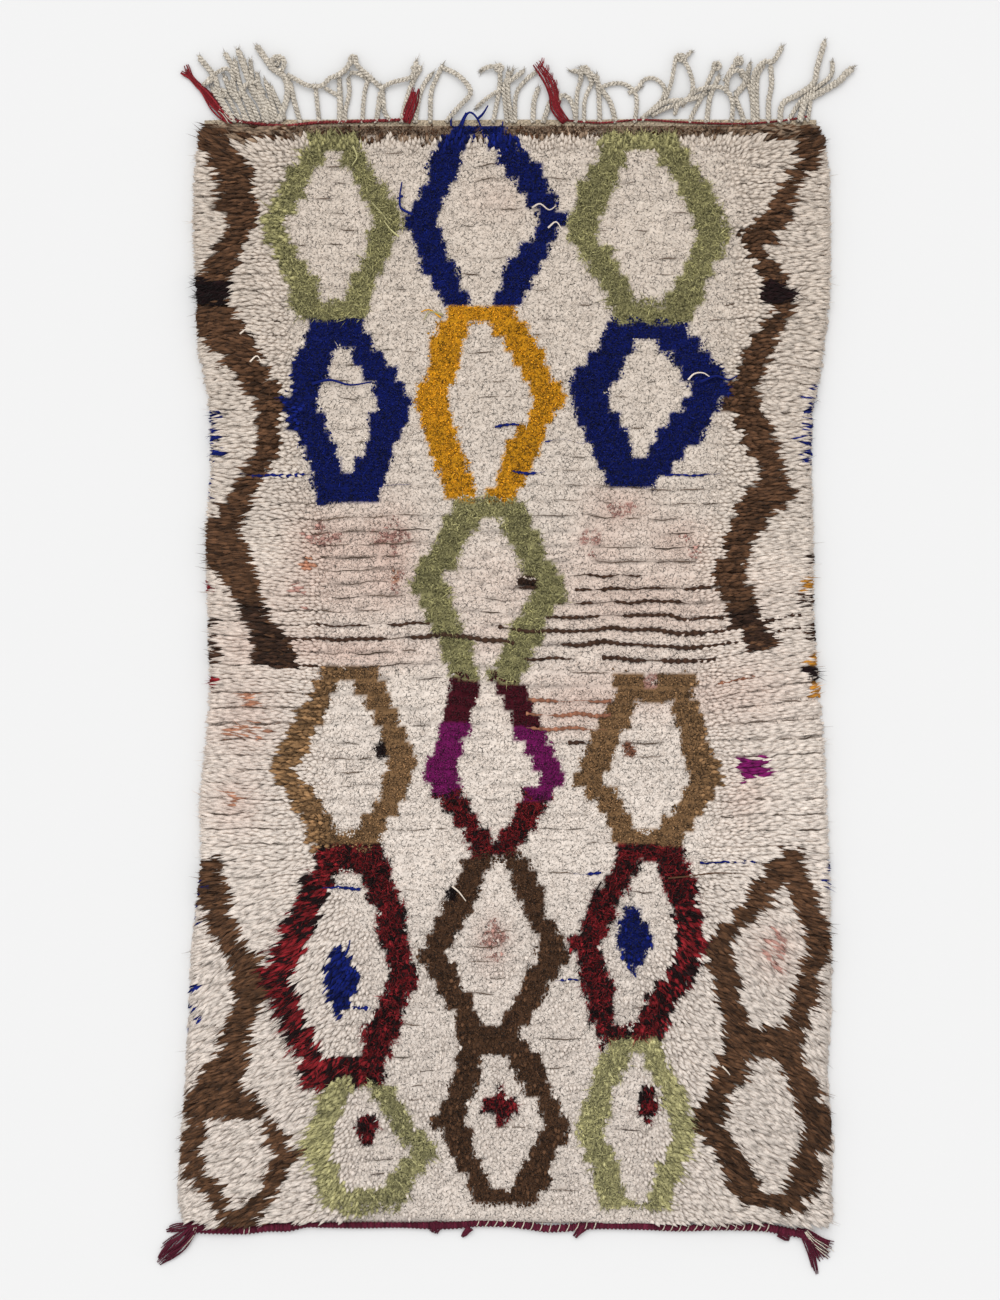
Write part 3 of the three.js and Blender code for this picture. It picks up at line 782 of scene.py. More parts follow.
def closed_sheet(name, across, along):
    """A flat closed sheet of unit size with a fine upper face, its under points at -1, and its points."""
    shape = bmesh.new()
    bmesh.ops.create_grid(shape, x_segments=across, y_segments=along, size=0.5)
    rim = [edge for edge in shape.edges if edge.is_boundary]
    skirt = bmesh.ops.extrude_edge_only(shape, edges=rim)["geom"]
    foot = [part for part in skirt if isinstance(part, bmesh.types.BMVert)]
    bmesh.ops.translate(shape, verts=foot, vec=(0, 0, -1))
    hem = [part for part in skirt if isinstance(part, bmesh.types.BMEdge)]
    bmesh.ops.contextual_create(shape, geom=hem)
    bmesh.ops.recalc_face_normals(shape, faces=shape.faces)
    mesh = bpy.data.meshes.new(name)
    shape.to_mesh(mesh)
    shape.free()
    place = np.empty(len(mesh.vertices) * 3, dtype=np.float32)
    mesh.vertices.foreach_get("co", place)
    return placed(name, mesh), place.reshape(-1, 3).astype(float)


def shape_sheet(piece, column, line, height, tones):
    """Gives a closed sheet its place on the chart, its heights and the tones of its yarns."""
    mesh = piece.data
    x, y = chart_xy(column, line)
    mesh.vertices.foreach_set("co", np.column_stack((x, y, height)).astype(np.float32).ravel())
    give_tones(mesh, tones)
    mesh.shade_smooth()
    mesh.update()
    return piece


def ground_weave():
    """A closed sheet under the pile, in the yarns of the knots that stand on it, with painted shade between
    the knots and in the valleys between rows.
    """
    piece, place = closed_sheet("ground_weave", GROUND_COLUMNS, GROUND_LINES)
    line = GROUND_FIRST_LINE + (0.5 - place[:, 1]) * (GROUND_LAST_LINE - GROUND_FIRST_LINE)
    left, right = side_columns(line)
    column = left + GROUND_INSET_COLUMNS + (place[:, 0] + 0.5) * (right - left - 2 * GROUND_INSET_COLUMNS)
    row, off_row = knot_row(column, line)
    height = packed_height(column, line, off_row) + rng.normal(0, 0.4 * MM, len(line))
    height = np.where(place[:, 2] < -0.5, FLOOR_CLEARANCE, height)
    bare = off_row > 1.3
    yarn = charted_yarn(column + row_step(column, row), row, rng.uniform(0, 1, len(line)))
    yarn[bare] = IVORY
    flat = how_flat(Wool(column, line, line, row, off_row))[2]
    combed = pile_lay(column, line)[2]
    # Painted shade in the valleys between the rows and between the knots
    valley = smooth_step(0.80, 1.0, off_row) * np.clip(0.35 + 0.20 * flat + 0.45 * combed, 0, 1)
    full = np.where(yarn == IVORY, GROUND_PAINTED_SHADE, DYED_GROUND_PAINTED_SHADE)
    shade = np.where(bare, 0.95, full + (VALLEY_PAINTED_SHADE - full) * valley)
    shade *= 1 + 0.07 * rng.normal(0, 1, len(line))
    return shape_sheet(piece, column, line, height, wool_tone(yarn, column, line) * shade[:, None])


IVORY_BANDS = 4
MIXED = {
    "pile_brown": ("brown",),
    "pile_blue": ("blue",),
    "pile_green": ("green", "sage"),
    "pile_saffron": ("saffron", "ochre", "rust", "pink", "clay"),
    "pile_madder": ("madder", "black", "burgundy", "purple", "umber"),
    "pile_tan": ("tan", "dun"),
}


def yarn_bands(yarn, row):
    """Name and knots of each pile piece: the ivory in bands of rows, the dyed yarns in families."""
    ivory = yarn == IVORY
    band = np.searchsorted(np.quantile(row[ivory], np.linspace(0, 1, IVORY_BANDS + 1)[1:-1]), row)
    groups = [(f"pile_ivory_{number + 1}", ivory & (band == number)) for number in range(IVORY_BANDS)]
    for name, yarns in MIXED.items():
        groups.append((name, np.isin(yarn, [YARN_INDEX[y] for y in yarns])))
    return groups


# Yarn as tubes, twisted cords and loose bundles


def way_along(course):
    """How far each point of a course is from its start."""
    return np.concatenate(([0], np.cumsum(np.linalg.norm(np.diff(course, axis=0), axis=1))))


def smooth_path(points, step):
    """A smooth course through places, as evenly spaced points."""
    points = np.asarray(points, dtype=float)
    p = np.vstack((2 * points[0] - points[1], points, 2 * points[-1] - points[-2]))
    t = np.linspace(0, 1, 12, endpoint=False)[:, None]
    course = []
    for a, b, c, d in zip(p[:-3], p[1:-2], p[2:-1], p[3:]):
        bend = (2 * a - 5 * b + 4 * c - d) * t**2 + (3 * b - a - 3 * c + d) * t**3
        course.append(b + 0.5 * ((c - a) * t + bend))
    course = np.vstack(course + [points[-1:]])
    travelled = way_along(course)
    stations = np.linspace(0, travelled[-1], max(4, int(travelled[-1] / step) + 1))
    return np.column_stack([np.interp(stations, travelled, part) for part in course.T])


def path_axes(points):
    """Unit vectors across and above a course."""
    along = np.gradient(points, axis=0)
    along /= np.linalg.norm(along, axis=1, keepdims=True)
    across = np.cross(along, (0.02, 0.03, 1.0))
    across /= np.linalg.norm(across, axis=1, keepdims=True)
    return across, np.cross(across, along)


TUBE_FOOT = 0.2
CAP_PLACE = 0.08
CAP_RADIUS = 0.07
CAP_SHIFT = (0.3, 0)


def tube_piece(name, runs, sides):
    """Closed tubes of yarn joined as one piece. A run is its points, and its radius and tone at each."""
    points, tones, quads, caps, quad_maps, cap_maps = [], [], [], [], [], []
    cells, cell_side = map_cells(len(runs))
    ring = np.arange(sides)
    angle = 2 * math.pi * ring / sides
    disc = CAP_PLACE + CAP_RADIUS * np.column_stack((np.cos(angle), np.sin(angle)))
    first = 0
    for cell, (course, radius, tone) in zip(cells, runs):
        count = len(course)
        across, above = path_axes(course)
        out = across[:, None] * np.cos(angle)[None, :, None] + above[:, None] * np.sin(angle)[None, :, None]
        thick = radius if np.ndim(radius) == 2 else np.reshape(radius, (-1, 1))
        thick = np.broadcast_to(thick, (count, sides))
        points.append((course[:, None] + out * thick[..., None]).reshape(-1, 3))
        tones.append(np.repeat(np.broadcast_to(tone, (count, 3)), sides, axis=0))
        station = np.arange(count - 1)[:, None]
        here, after = station * sides + ring, station * sides + (ring + 1) % sides
        quads.append(np.stack((here, after, after + sides, here + sides), axis=-1).reshape(-1, 4) + first)
        caps.append(np.stack((ring[::-1], ring + (count - 1) * sides)) + first)
        u0, u1 = (np.broadcast_to(u / (count - 1), here.shape) for u in (station, station + 1))
        rings = (TUBE_FOOT + (1 - TUBE_FOOT) * v / sides for v in (ring, ring + 1))
        v0, v1 = (np.broadcast_to(v, here.shape) for v in rings)
        corners = [np.stack(pair, -1) for pair in ((u0, v0), (u0, v1), (u1, v1), (u1, v0))]
        quad_map = np.stack(corners, axis=2).reshape(-1, 4, 2)
        cap_map = np.stack((disc, disc + CAP_SHIFT))
        quad_maps.append(cell + (CELL_MARGIN + quad_map * (1 - 2 * CELL_MARGIN)) * cell_side)
        cap_maps.append(cell + (CELL_MARGIN + cap_map * (1 - 2 * CELL_MARGIN)) * cell_side)
        first += count * sides
    return array_mesh(name, np.vstack(points), [np.vstack(quads), np.vstack(caps)], np.vstack(tones),
                      [np.concatenate(quad_maps), np.concatenate(cap_maps)])


def lay_course(chart_points, height, step):
    """A smooth course over the floor from places on the chart, at a height or a height for each place."""
    table = np.array(chart_points, dtype=float)
    x, y = chart_xy(table[:, 0], table[:, 1])
    return smooth_path(np.column_stack((x, y, np.broadcast_to(height, len(table)))), step)


# Plies of a twisted cord as shares of its thickness, and how finely yarns are drawn
PLY_OFFSET = 0.27
PLY_RADIUS = 0.25
YARN_FACETS = 5
BUNDLE_STEP = 6 * MM


def twisted(course, thickness, turn_length, tone, spread):
    """The two plies of a twisted cord along a course, each a run for tube_piece."""
    across, above = path_axes(course)
    travelled = way_along(course)
    start = rng.uniform(0, 2 * math.pi)
    runs = []
    for ply in (0, math.pi):
        angle = start + ply + travelled / turn_length * 2 * math.pi
        shift = across * np.cos(angle)[:, None] + above * np.sin(angle)[:, None]
        shade = 1 + spread * rng.normal(0, 1, (len(course), 1))
        wound = course + shift * thickness * PLY_OFFSET
        runs.append((wound, thickness * PLY_RADIUS, linear_tone(tone) * shade))
    return runs


def bundle(chart_points, widths, height, yarns, yarn_width, tone, spread, taper=0.35):
    """Loose yarns side by side along a course whose width changes on the way, as runs for tube_piece."""
    course = lay_course(chart_points, height, BUNDLE_STEP)
    across, above = path_axes(course)
    share = np.linspace(0, 1, len(course))
    width = np.interp(share, np.linspace(0, 1, len(widths)), widths) * CHART_STEP
    runs = []
    for place in np.linspace(-0.5, 0.5, yarns):
        wave = 0.10 * np.sin(share * rng.uniform(3, 9) + rng.uniform(0, 2 * math.pi))
        side = across * ((place + wave) * width)[:, None]
        round_up = np.sqrt(np.clip(1 - (2 * place) ** 2, 0, 1))
        dome = above * (round_up * 0.25 * width * rng.uniform(0.2, 1))[:, None]
        stop = max(4, int(len(course) * rng.uniform(0.82, 1.0)))
        thick = yarn_width / 2 * (1 - (1 - taper) * share[:stop] ** 4)
        shade = 1 + spread * rng.normal(0, 1)
        runs.append(((course + side + dome)[:stop], thick, linear_tone(tone) * np.clip(shade, 0.4, 1.7)))
    return runs


def frayed_end(place, away, count, length, width, tone, spread):
    """Roots, tips, widths and tones of loose fibres at the end of a yarn."""
    root = place + rng.normal(0, 0.9 * MM, (count, 3))
    tip = place + (away + rng.normal(0, 0.45, (count, 3))) * length * rng.uniform(0.5, 1.2, (count, 1))
    root[:, 2] = np.maximum(root[:, 2], 1.5 * MM)
    tip[:, 2] = np.maximum(tip[:, 2], 0.8 * MM)
    tones = linear_tone(tone) * np.clip(1 + spread * rng.normal(0, 1, (count, 1)), 0.4, 1.6)
    return root, tip, np.full(count, width), tones


def fibre_piece(name, ends):
    """Loose fibres of several frayed ends as one piece."""
    root, tip, width, tone = (np.concatenate(parts) for parts in zip(*ends))
    # Painted shade at the roots of the frayed fibres
    return strand_piece(name, root, tip, width, tone * 0.85, tone)


# Upper end: a narrow flat weave, and warps twisted in pairs that leave it

WARP_TONE = (222, 212, 197)
WARP_WIDTH = 9.0 * MM
THICK_WARP_WIDTH = 11.5 * MM
WARP_TURN = 13 * MM
WARP_STEP = 2.6 * MM
KNOT_TURNS = 1.6
END_FIBRES = 14
END_LENGTH = 6.5 * MM
END_WIDTH = 2.2 * MM
STRIP_LINES = (118.6, 130.8)
STRIP_COLUMNS = (204, 817)
STRIP_HEIGHT = 3.6 * MM
STRIP_WARPS = 250
STRIP_WEFTS = 8
STRIP_TONE = (222, 203, 176)

# Courses of the twisted warps on the chart: those on the floor, those that cross over them, the thick ones
LOW_WARPS = (
    ((241, 122), (229, 99), (222, 90)),
    ((229, 119), (222, 104), (212, 88)),
    ((245, 120), (240, 104), (231, 92), (224, 76)),
    ((259, 121), (252, 104), (243, 92), (238, 78), (234, 60)),
    ((264, 120), (259, 103), (251, 90), (246, 70), (243, 58)),
    ((273, 121), (268, 104), (259, 90), (257, 74)),
    ((284, 118), (277, 101), (270, 86)),
    ((248, 122), (238, 99), (233, 84), (233, 68), (225, 53)),
    ((254, 122), (245, 99), (240, 85)),
    ((278, 122), (265, 80)),
    ((252, 80), (250, 61)),
    ((300, 122), (294, 101), (290, 84), (284, 76)),
    ((319, 122), (315, 86)),
    ((339, 122), (339, 78)),
    ((341, 122), (340, 86)),
    ((345, 122), (345, 110), (349, 92), (348, 78)),
    ((362, 122), (364, 94), (368, 77)),
    ((376, 122), (380, 92)),
    ((390, 121), (384, 110), (383, 98), (381, 86)),
    ((401, 122), (403, 113), (408, 94), (413, 80), (420, 68)),
    ((415, 122), (418, 101), (423, 85), (431, 73)),
    ((430, 122), (431, 92), (436, 78), (442, 65)),
    ((493, 122), (499, 90), (500, 76), (499, 66)),
    ((507, 122), (505, 103), (504, 85), (512, 70)),
    ((512, 122), (508, 94), (508, 71)),
    ((515, 122), (516, 94), (526, 79), (536, 71)),
    ((533, 122), (534, 101), (538, 88)),
    ((543, 122), (550, 101)),
    ((576, 122), (577, 94), (581, 79)),
    ((584, 122), (585, 99), (592, 82)),
    ((600, 122), (599, 94), (597, 75)),
    ((616, 122), (611, 103), (603, 90)),
    ((635, 122), (637, 101), (634, 90), (624, 83), (611, 83), (600, 87)),
    ((642, 120), (652, 109), (662, 99), (665, 88), (659, 80), (651, 77), (643, 80), (638, 88)),
    ((690, 122), (693, 113), (702, 96), (710, 77), (716, 64)),
    ((707, 122), (709, 103), (712, 91), (719, 76)),
    ((745, 122), (741, 110), (736, 96), (741, 89), (747, 80), (741, 73)),
    ((754, 122), (752, 96), (748, 77), (750, 64)),
    ((758, 121), (757, 95), (758, 75), (764, 64)),
    ((769, 122), (769, 101), (772, 83), (771, 64)),
    ((788, 122), (799, 103), (814, 89), (831, 75), (833, 62)),
    ((808, 121), (811, 100)),
)
HIGH_WARPS = (
    ((214, 76), (209, 81), (203, 84)),
    ((203, 84), (214, 74), (226, 68), (233, 76), (228, 88)),
    ((238, 96), (246, 84), (256, 82), (263, 92)),
    ((268, 64), (276, 56), (284, 60), (281, 70), (272, 69)),
    ((287, 74), (296, 79), (308, 85), (322, 85), (329, 78), (337, 75), (346, 69)),
    ((324, 87), (337, 94)),
    ((335, 76), (346, 68), (353, 58), (358, 66), (368, 75), (382, 88)),
    ((350, 72), (358, 73), (366, 77)),
    ((382, 87), (392, 82), (408, 78), (413, 74), (416, 61)),
    ((446, 121), (452, 114), (460, 105), (470, 94), (468, 85), (457, 74), (443, 67)),
    ((500, 66), (490, 66), (482, 69)),
    ((498, 90), (488, 97), (477, 106)),
    ((506, 83), (516, 76), (523, 70)),
    ((576, 121), (574, 108), (569, 98), (562, 95), (557, 103)),
    ((581, 80), (580, 72), (572, 70)),
    ((593, 84), (588, 74), (582, 67)),
    ((604, 92), (594, 76), (585, 68)),
    ((629, 92), (640, 86)),
    ((652, 115), (666, 108), (686, 100)),
    ((642, 118), (655, 108), (668, 101), (690, 99), (706, 92)),
    ((727, 92), (728, 78), (735, 70), (744, 72), (745, 82), (738, 90)),
    ((664, 102), (671, 83), (674, 68), (677, 55), (684, 57), (691, 51)),
    ((675, 114), (678, 105), (690, 96), (693, 84), (689, 69), (683, 58)),
    ((682, 105), (694, 92), (708, 87), (722, 87), (730, 94), (733, 105), (732, 121)),
    ((725, 80), (732, 68), (739, 58)),
    ((754, 121), (753, 83), (756, 70), (765, 61), (773, 61), (782, 47)),
)
THICK_WARPS = (
    ((234, 122), (219, 94), (214, 76), (199, 57)),
    ((268, 122), (263, 103), (254, 90), (248, 78), (238, 50)),
    ((279, 121), (287, 94), (284, 76), (272, 67), (257, 46)),
    ((780, 122), (783, 103), (798, 94), (814, 82), (818, 65), (825, 41)),
    ((800, 121), (806, 101), (822, 91), (840, 80), (845, 74), (852, 68)),
)
# Knots tied in the warps: column, line
WARP_KNOTS = (
    (353, 58), (275, 61), (585, 69), (499, 67), (717, 65), (739, 60), (682, 57), (416, 68), (222, 92),
)


def warp_fringe():
    """Twisted warps with their knots, as one piece, and the fibres at their free ends."""
    runs, ends = [], []
    groups = ((LOW_WARPS, WARP_WIDTH, 0), (THICK_WARPS, THICK_WARP_WIDTH, 0), (HIGH_WARPS, WARP_WIDTH, 1))
    for warps, width, over in groups:
        for warp in warps:
            rise = np.full(len(warp), width * 0.56)
            rise[1:-1] += over * WARP_WIDTH * 0.55
            course = lay_course(warp, rise, WARP_STEP)
            runs.extend(twisted(course, width * rng.uniform(0.88, 1.1), WARP_TURN, WARP_TONE, 0.10))
            away = course[-1] - course[-3]
            away /= np.linalg.norm(away)
            ends.append(frayed_end(course[-1], away, END_FIBRES, END_LENGTH, END_WIDTH, WARP_TONE, 0.16))
    for column, line in WARP_KNOTS:
        turn = np.linspace(0, KNOT_TURNS * 2 * math.pi, 14)
        ring = np.column_stack((column + 3.6 * np.cos(turn), line + 3.2 * np.sin(turn)))
        course = lay_course(ring, np.linspace(4 * MM, 10 * MM, len(turn)), WARP_STEP)
        runs.extend(twisted(course, WARP_WIDTH * 0.8, WARP_TURN, WARP_TONE, 0.10))
    return tube_piece("warp_fringe", runs, YARN_FACETS), fibre_piece("warp_fringe_ends", ends)


def upper_weave():
    """The narrow flat weave between the fringe and the pile, its wefts packed over the warps."""
    piece, place = closed_sheet("upper_weave", STRIP_WARPS, STRIP_WEFTS)
    line = STRIP_LINES[0] + (0.5 - place[:, 1]) * (STRIP_LINES[1] - STRIP_LINES[0])
    column = STRIP_COLUMNS[0] + (place[:, 0] + 0.5) * (STRIP_COLUMNS[1] - STRIP_COLUMNS[0])
    weft = np.round((0.5 - place[:, 1]) * STRIP_WEFTS)
    warp = np.round((place[:, 0] + 0.5) * STRIP_WARPS)
    over = np.where((weft + warp) % 2 == 0, 1.0, -1.0)
    height = np.where(place[:, 2] < -0.5, FLOOR_CLEARANCE, STRIP_HEIGHT + 0.45 * MM * over)
    line = line + 1.1 * drift(column, line, 5, 0.03)
    # Painted shade: the sunk crossings of the weave are darker than the raised ones
    shade = (0.80 + 0.12 * over) * (1 + 0.12 * rng.normal(0, 1, len(line)))
    return shape_sheet(piece, column, line, height, linear_tone(STRIP_TONE) * shade[:, None])


# Red yarn twined along the upper weave, with its loose ends

RED_TONE = (132, 36, 43)
TWINED_TONE = (140, 56, 58)
RED_WIDTH = 6.4 * MM
THIN_RED_WIDTH = 4.2 * MM
RED_HEIGHT = 6.4 * MM
RED_TURN = 10 * MM
RED_LEFT = (
    (229, 119), (257, 123), (286, 125), (314, 122), (345, 121), (375, 120), (399, 119), (408, 117),
)
RED_RIGHT = (
    (566, 119.5), (600, 122), (640, 119), (677, 121), (710, 122.5), (746, 123), (781, 120), (809, 115.5),
)
RED_FORKS = (
    ((199, 86), (191, 77), (184, 73), (177, 69)),
    ((198, 85), (190, 76), (187, 68), (184, 60)),
)
RED_BARBS = ((559, 104), (557, 95), (555, 86), (551, 79), (547, 71), (542, 64))


def red_yarn_left():
    """Left run of the twining, its corner tassel and its loose end."""
    runs = twisted(lay_course(RED_LEFT, RED_HEIGHT, WARP_STEP), RED_WIDTH, RED_TURN, TWINED_TONE, 0.30)
    tassel = ((233, 122), (221, 110), (210, 98), (201, 87), (194, 80), (188, 75))
    heights = (5 * MM, 5 * MM, 4 * MM, 4 * MM, 3 * MM, 3 * MM)
    runs += bundle(tassel, (9, 11, 11, 8, 5, 4), heights, 14, 2.8 * MM, RED_TONE, 0.25)
    for fork in RED_FORKS:
        runs += bundle(fork, (4, 4, 4, 3), 4 * MM, 5, 2.4 * MM, RED_TONE, 0.25)
    runs += bundle(((234, 121), (225, 112), (216, 106)), (9, 8, 5), 8.5 * MM, 4, 1.8 * MM, WARP_TONE, 0.1)
    loose = ((406, 122), (411, 106), (414, 95), (417, 84))
    runs += bundle(loose, (9, 9, 9, 7), (6 * MM, 10 * MM, 11 * MM, 9 * MM), 11, 2.6 * MM, RED_TONE, 0.25)
    return tube_piece("red_yarn_left", runs, YARN_FACETS)


def red_yarn_right():
    """Right run of the twining and its frayed loose end."""
    runs = twisted(lay_course(RED_RIGHT, RED_HEIGHT, WARP_STEP), THIN_RED_WIDTH, RED_TURN, TWINED_TONE, 0.30)
    loose = ((566, 121), (556, 107), (553, 94), (547, 79), (541, 69), (534, 59))
    heights = (6 * MM, 9 * MM, 11 * MM, 11 * MM, 9 * MM, 6 * MM)
    runs += bundle(loose, (7, 9, 9, 10, 9, 8), heights, 12, 2.4 * MM, RED_TONE, 0.16)
    for column, line in RED_BARBS:
        barb = ((column - 4, line + 4), (column, line - 1), (column + 1, line - 7))
        runs += bundle(barb, (3, 3, 2), 9 * MM, 3, 2.0 * MM, RED_TONE, 0.16)
    return tube_piece("red_yarn_right", runs, YARN_FACETS)


# Lower end: a burgundy cord wound round the edge, cream stitches, tufts and corner tassels

CORD_TONE = (92, 29, 48)
CREAM_TONE = (224, 214, 196)
CORD_HEIGHT = 4.9 * MM
CORD_WIND = 6.4 * MM
CORD_SIDES = 14
CORD_STEP = 1.5 * MM
STITCH_RADIUS = 0.85 * MM
# Course of the bound cord: column, line, width in columns
BOUND_CORD = (
    (197, 1229.5, 10), (214, 1230.5, 9.5), (233, 1231, 9), (248, 1230.5, 9.5), (267, 1228.5, 9),
    (288, 1228, 9.5), (306, 1225.5, 6.5), (325, 1226, 6), (362, 1226, 7), (400, 1226, 6),
    (434, 1226.5, 8), (456, 1226, 8), (476, 1224, 8), (505, 1224.5, 7.5), (526, 1226.5, 8),
    (547, 1229.5, 8), (568, 1228.7, 8), (596, 1226.6, 7.5), (640, 1227, 8), (680, 1229, 7),
    (720, 1227.7, 7.5), (749, 1228.3, 7.5), (767, 1228.5, 9), (783, 1231.7, 9), (801, 1235, 8),
)
STITCH_COLUMNS = (244, 249) + tuple(range(478, 602, 9)) + tuple(range(664, 772, 8))
TUFTS = (
    (((434, 1222), (435, 1229), (432, 1237)), (5, 11, 2)),
    (((470, 1228), (466, 1233), (462, 1238)), (7, 5, 2)),
    (((584, 1226), (578, 1234), (573, 1241)), (8, 5, 3)),
    (((779, 1234), (785, 1238), (790, 1240)), (5, 6, 4)),
)


def bound_cord():
    """The cord wound round the lower edge, with slanting turns, and its tufts."""
    table = np.array(BOUND_CORD)
    x, y = chart_xy(table[:, 0], table[:, 1])
    height = np.full(len(x), CORD_HEIGHT)
    course = smooth_path(np.column_stack((x, y, height, table[:, 2] * CHART_STEP)), CORD_STEP)
    travelled = way_along(course[:, :2])
    angle = 2 * math.pi * np.arange(CORD_SIDES) / CORD_SIDES
    wind = np.sin(travelled[:, None] / CORD_WIND * 2 * math.pi + 1.5 * np.cos(angle))
    half = course[:, 3:4] / 2
    round_ = np.sqrt((half * np.cos(angle)) ** 2 + (CORD_HEIGHT * 0.92 * np.sin(angle)) ** 2)
    radius = round_ * (0.92 + 0.15 * wind)
    shade = 1 + 0.30 * rng.normal(0, 1, (len(course), 1))
    runs = [(course[:, :3], radius, linear_tone(CORD_TONE) * np.clip(shade, 0.5, 2.0))]
    cord = tube_piece("bound_cord", runs, CORD_SIDES)
    tufts = []
    for places, widths in TUFTS:
        tufts += bundle(places, widths, (8 * MM, 6 * MM, 3 * MM), 9, 2.4 * MM, CORD_TONE, 0.18)
    return cord, tube_piece("bound_cord_tufts", tufts, YARN_FACETS)


def cream_stitches():
    """Short cream threads over the bound cord."""
    table = np.array(BOUND_CORD)
    runs = []
    for column in STITCH_COLUMNS:
        line = np.interp(column, table[:, 0], table[:, 1])
        half = np.interp(column, table[:, 0], table[:, 2]) / 2
        slant = 0.6 if column < 300 else rng.uniform(1.4, 2.8)
        places = ((column + slant, line - half - 2.0), (column + slant * 0.4, line - half * 0.4),
                  (column - slant * 0.4, line + half * 0.4), (column - slant, line + half * 0.95))
        course = lay_course(places, (5 * MM, 10.4 * MM, 10.2 * MM, 5 * MM), CORD_STEP)
        runs.append((course, STITCH_RADIUS, linear_tone(CREAM_TONE)))
    return tube_piece("cream_stitches", runs, YARN_FACETS)


# Bundles of each corner tassel: course, widths in columns, heights and yarn width in mm, yarns, tone, spread
Strands = namedtuple("Strands", "course widths heights yarns yarn_width tone spread")

LEFT_TASSEL = (
    Strands(((203, 1226), (194, 1229), (181, 1243), (167, 1255), (155, 1267)), (9, 11, 14, 11, 4),
            (6, 6.5, 5, 4, 2), 18, 2.6, CORD_TONE, 0.2),
    Strands(((200, 1226), (190, 1226), (176, 1229), (162, 1233)), (7, 7, 7, 4),
            (7, 6, 4, 2), 8, 2.4, CORD_TONE, 0.2),
    Strands(((190, 1229), (173, 1240), (157, 1252)), (5, 5, 4), (5, 3, 2), 5, 2, CORD_TONE, 0.2),
    Strands(((196, 1222), (193, 1234), (186, 1244), (176, 1252)), (2, 2, 2),
            (9, 9, 8, 5), 2, 1.7, CREAM_TONE, 0.05),
)
RIGHT_TASSEL = (
    Strands(((796, 1233), (807, 1236), (820, 1243), (836, 1250)), (8, 9, 12, 13),
            (6, 6.5, 5, 3), 13, 2.6, CORD_TONE, 0.2),
    Strands(((805, 1236), (817, 1246), (833, 1261)), (6, 7, 6), (6, 4, 2.5), 6, 2.4, CORD_TONE, 0.2),
    Strands(((805, 1236), (814, 1249), (824, 1265)), (5, 5, 4), (6, 4, 2.5), 5, 2.2, CORD_TONE, 0.2),
    Strands(((804, 1236), (811, 1254), (818, 1279)), (6, 6, 4), (6, 4, 2.5), 7, 2.4, CORD_TONE, 0.2),
    Strands(((806, 1232), (815, 1243), (828, 1252), (835, 1258)), (3, 5, 8, 9),
            (10, 8, 6, 3), 4, 1.6, CREAM_TONE, 0.05),
)


def corner_tassel(name, tassel):
    """A burgundy tassel: a few bundles of yarn that splay from its head, with some cream yarns over them."""
    runs = []
    for part in tassel:
        heights = np.array(part.heights) * MM
        yarn_width = part.yarn_width * MM
        runs += bundle(part.course, part.widths, heights, part.yarns, yarn_width, part.tone, part.spread)
    return tube_piece(name, runs, YARN_FACETS)


# Threads that lie loose on the pile: yarn, courses on the chart
LOOSE_THREADS = (
    ("blue", (
        ((453, 138), (451, 124), (451, 111)),
        ((459, 137), (464, 119), (469, 112), (475, 115), (480, 124), (484, 138)),
        ((478, 118), (483, 113), (488, 105)),
        ((500, 138), (503, 121)),
        ((413, 215), (401, 208), (400, 195), (402, 182)),
        ((403, 196), (397, 199)),
        ((456, 140), (461, 122), (466, 112)),
        ((312, 384), (330, 380), (350, 385), (372, 382)),
        ((700, 382), (716, 376), (728, 380), (737, 376)),
        ((345, 955), (349, 946), (350, 940)),
    )),
    ("ivory", (
        ((532, 208), (540, 204), (549, 210), (556, 206)),
        ((548, 228), (556, 222), (562, 230)),
        ((688, 380), (694, 374), (703, 373), (711, 378)),
        ((240, 334), (247, 329), (254, 332)),
        ((250, 362), (257, 356), (262, 363)),
        ((452, 886), (459, 892), (466, 901)),
        ((722, 1066), (727, 1071), (730, 1075)),
    )),
    ("green", (
        ((660, 1104), (670, 1111), (681, 1119)),
    )),
    ("sage", (
        ((372, 203), (382, 214), (391, 225)),
        ((399, 237), (391, 230), (384, 221)),
        ((353, 146), (357, 157), (352, 166)),
    )),
    ("green", (
        ((443, 315), (430, 312), (424, 320)),
    )),
    ("saffron", (
        ((441, 318), (430, 310), (421, 312)),
    )),
    ("black", (
        ((601, 882), (596, 893), (599, 906)),
    )),
    ("brown", (
        ((668, 878), (690, 876), (712, 873), (736, 873)),
    )),
)
THREAD_LIFT = 18 * MM
FRINGE_LIFT = 10 * MM
THREAD_RADIUS = 1.7 * MM
BLUE_THREAD_RADIUS = 2.6 * MM
THREAD_STEP = 3 * MM


def loose_threads():
    """Single threads that have come out and lie on the pile."""
    runs = []
    for yarn, courses in LOOSE_THREADS:
        thickest = BLUE_THREAD_RADIUS if yarn == "blue" else THREAD_RADIUS
        for places in courses:
            on_fringe = np.array(places)[:, 1] < PILE_FIRST_LINE
            height = np.where(on_fringe, FRINGE_LIFT, THREAD_LIFT) + rng.uniform(-0.5, 1, len(places)) * MM
            shade = 1 + 0.1 * rng.normal()
            course = lay_course(places, height, THREAD_STEP)
            radius = thickest * np.linspace(1.0, 0.45, len(course))
            runs.append((course, radius, YARN_TONES[YARN_INDEX[yarn]] * shade))
    return tube_piece("loose_threads", runs, YARN_FACETS)


# Wefts that show as dots between the rows of knots: yarn, first and last column, line, share of the dots
Weft = namedtuple("Weft", "yarn first last line share")

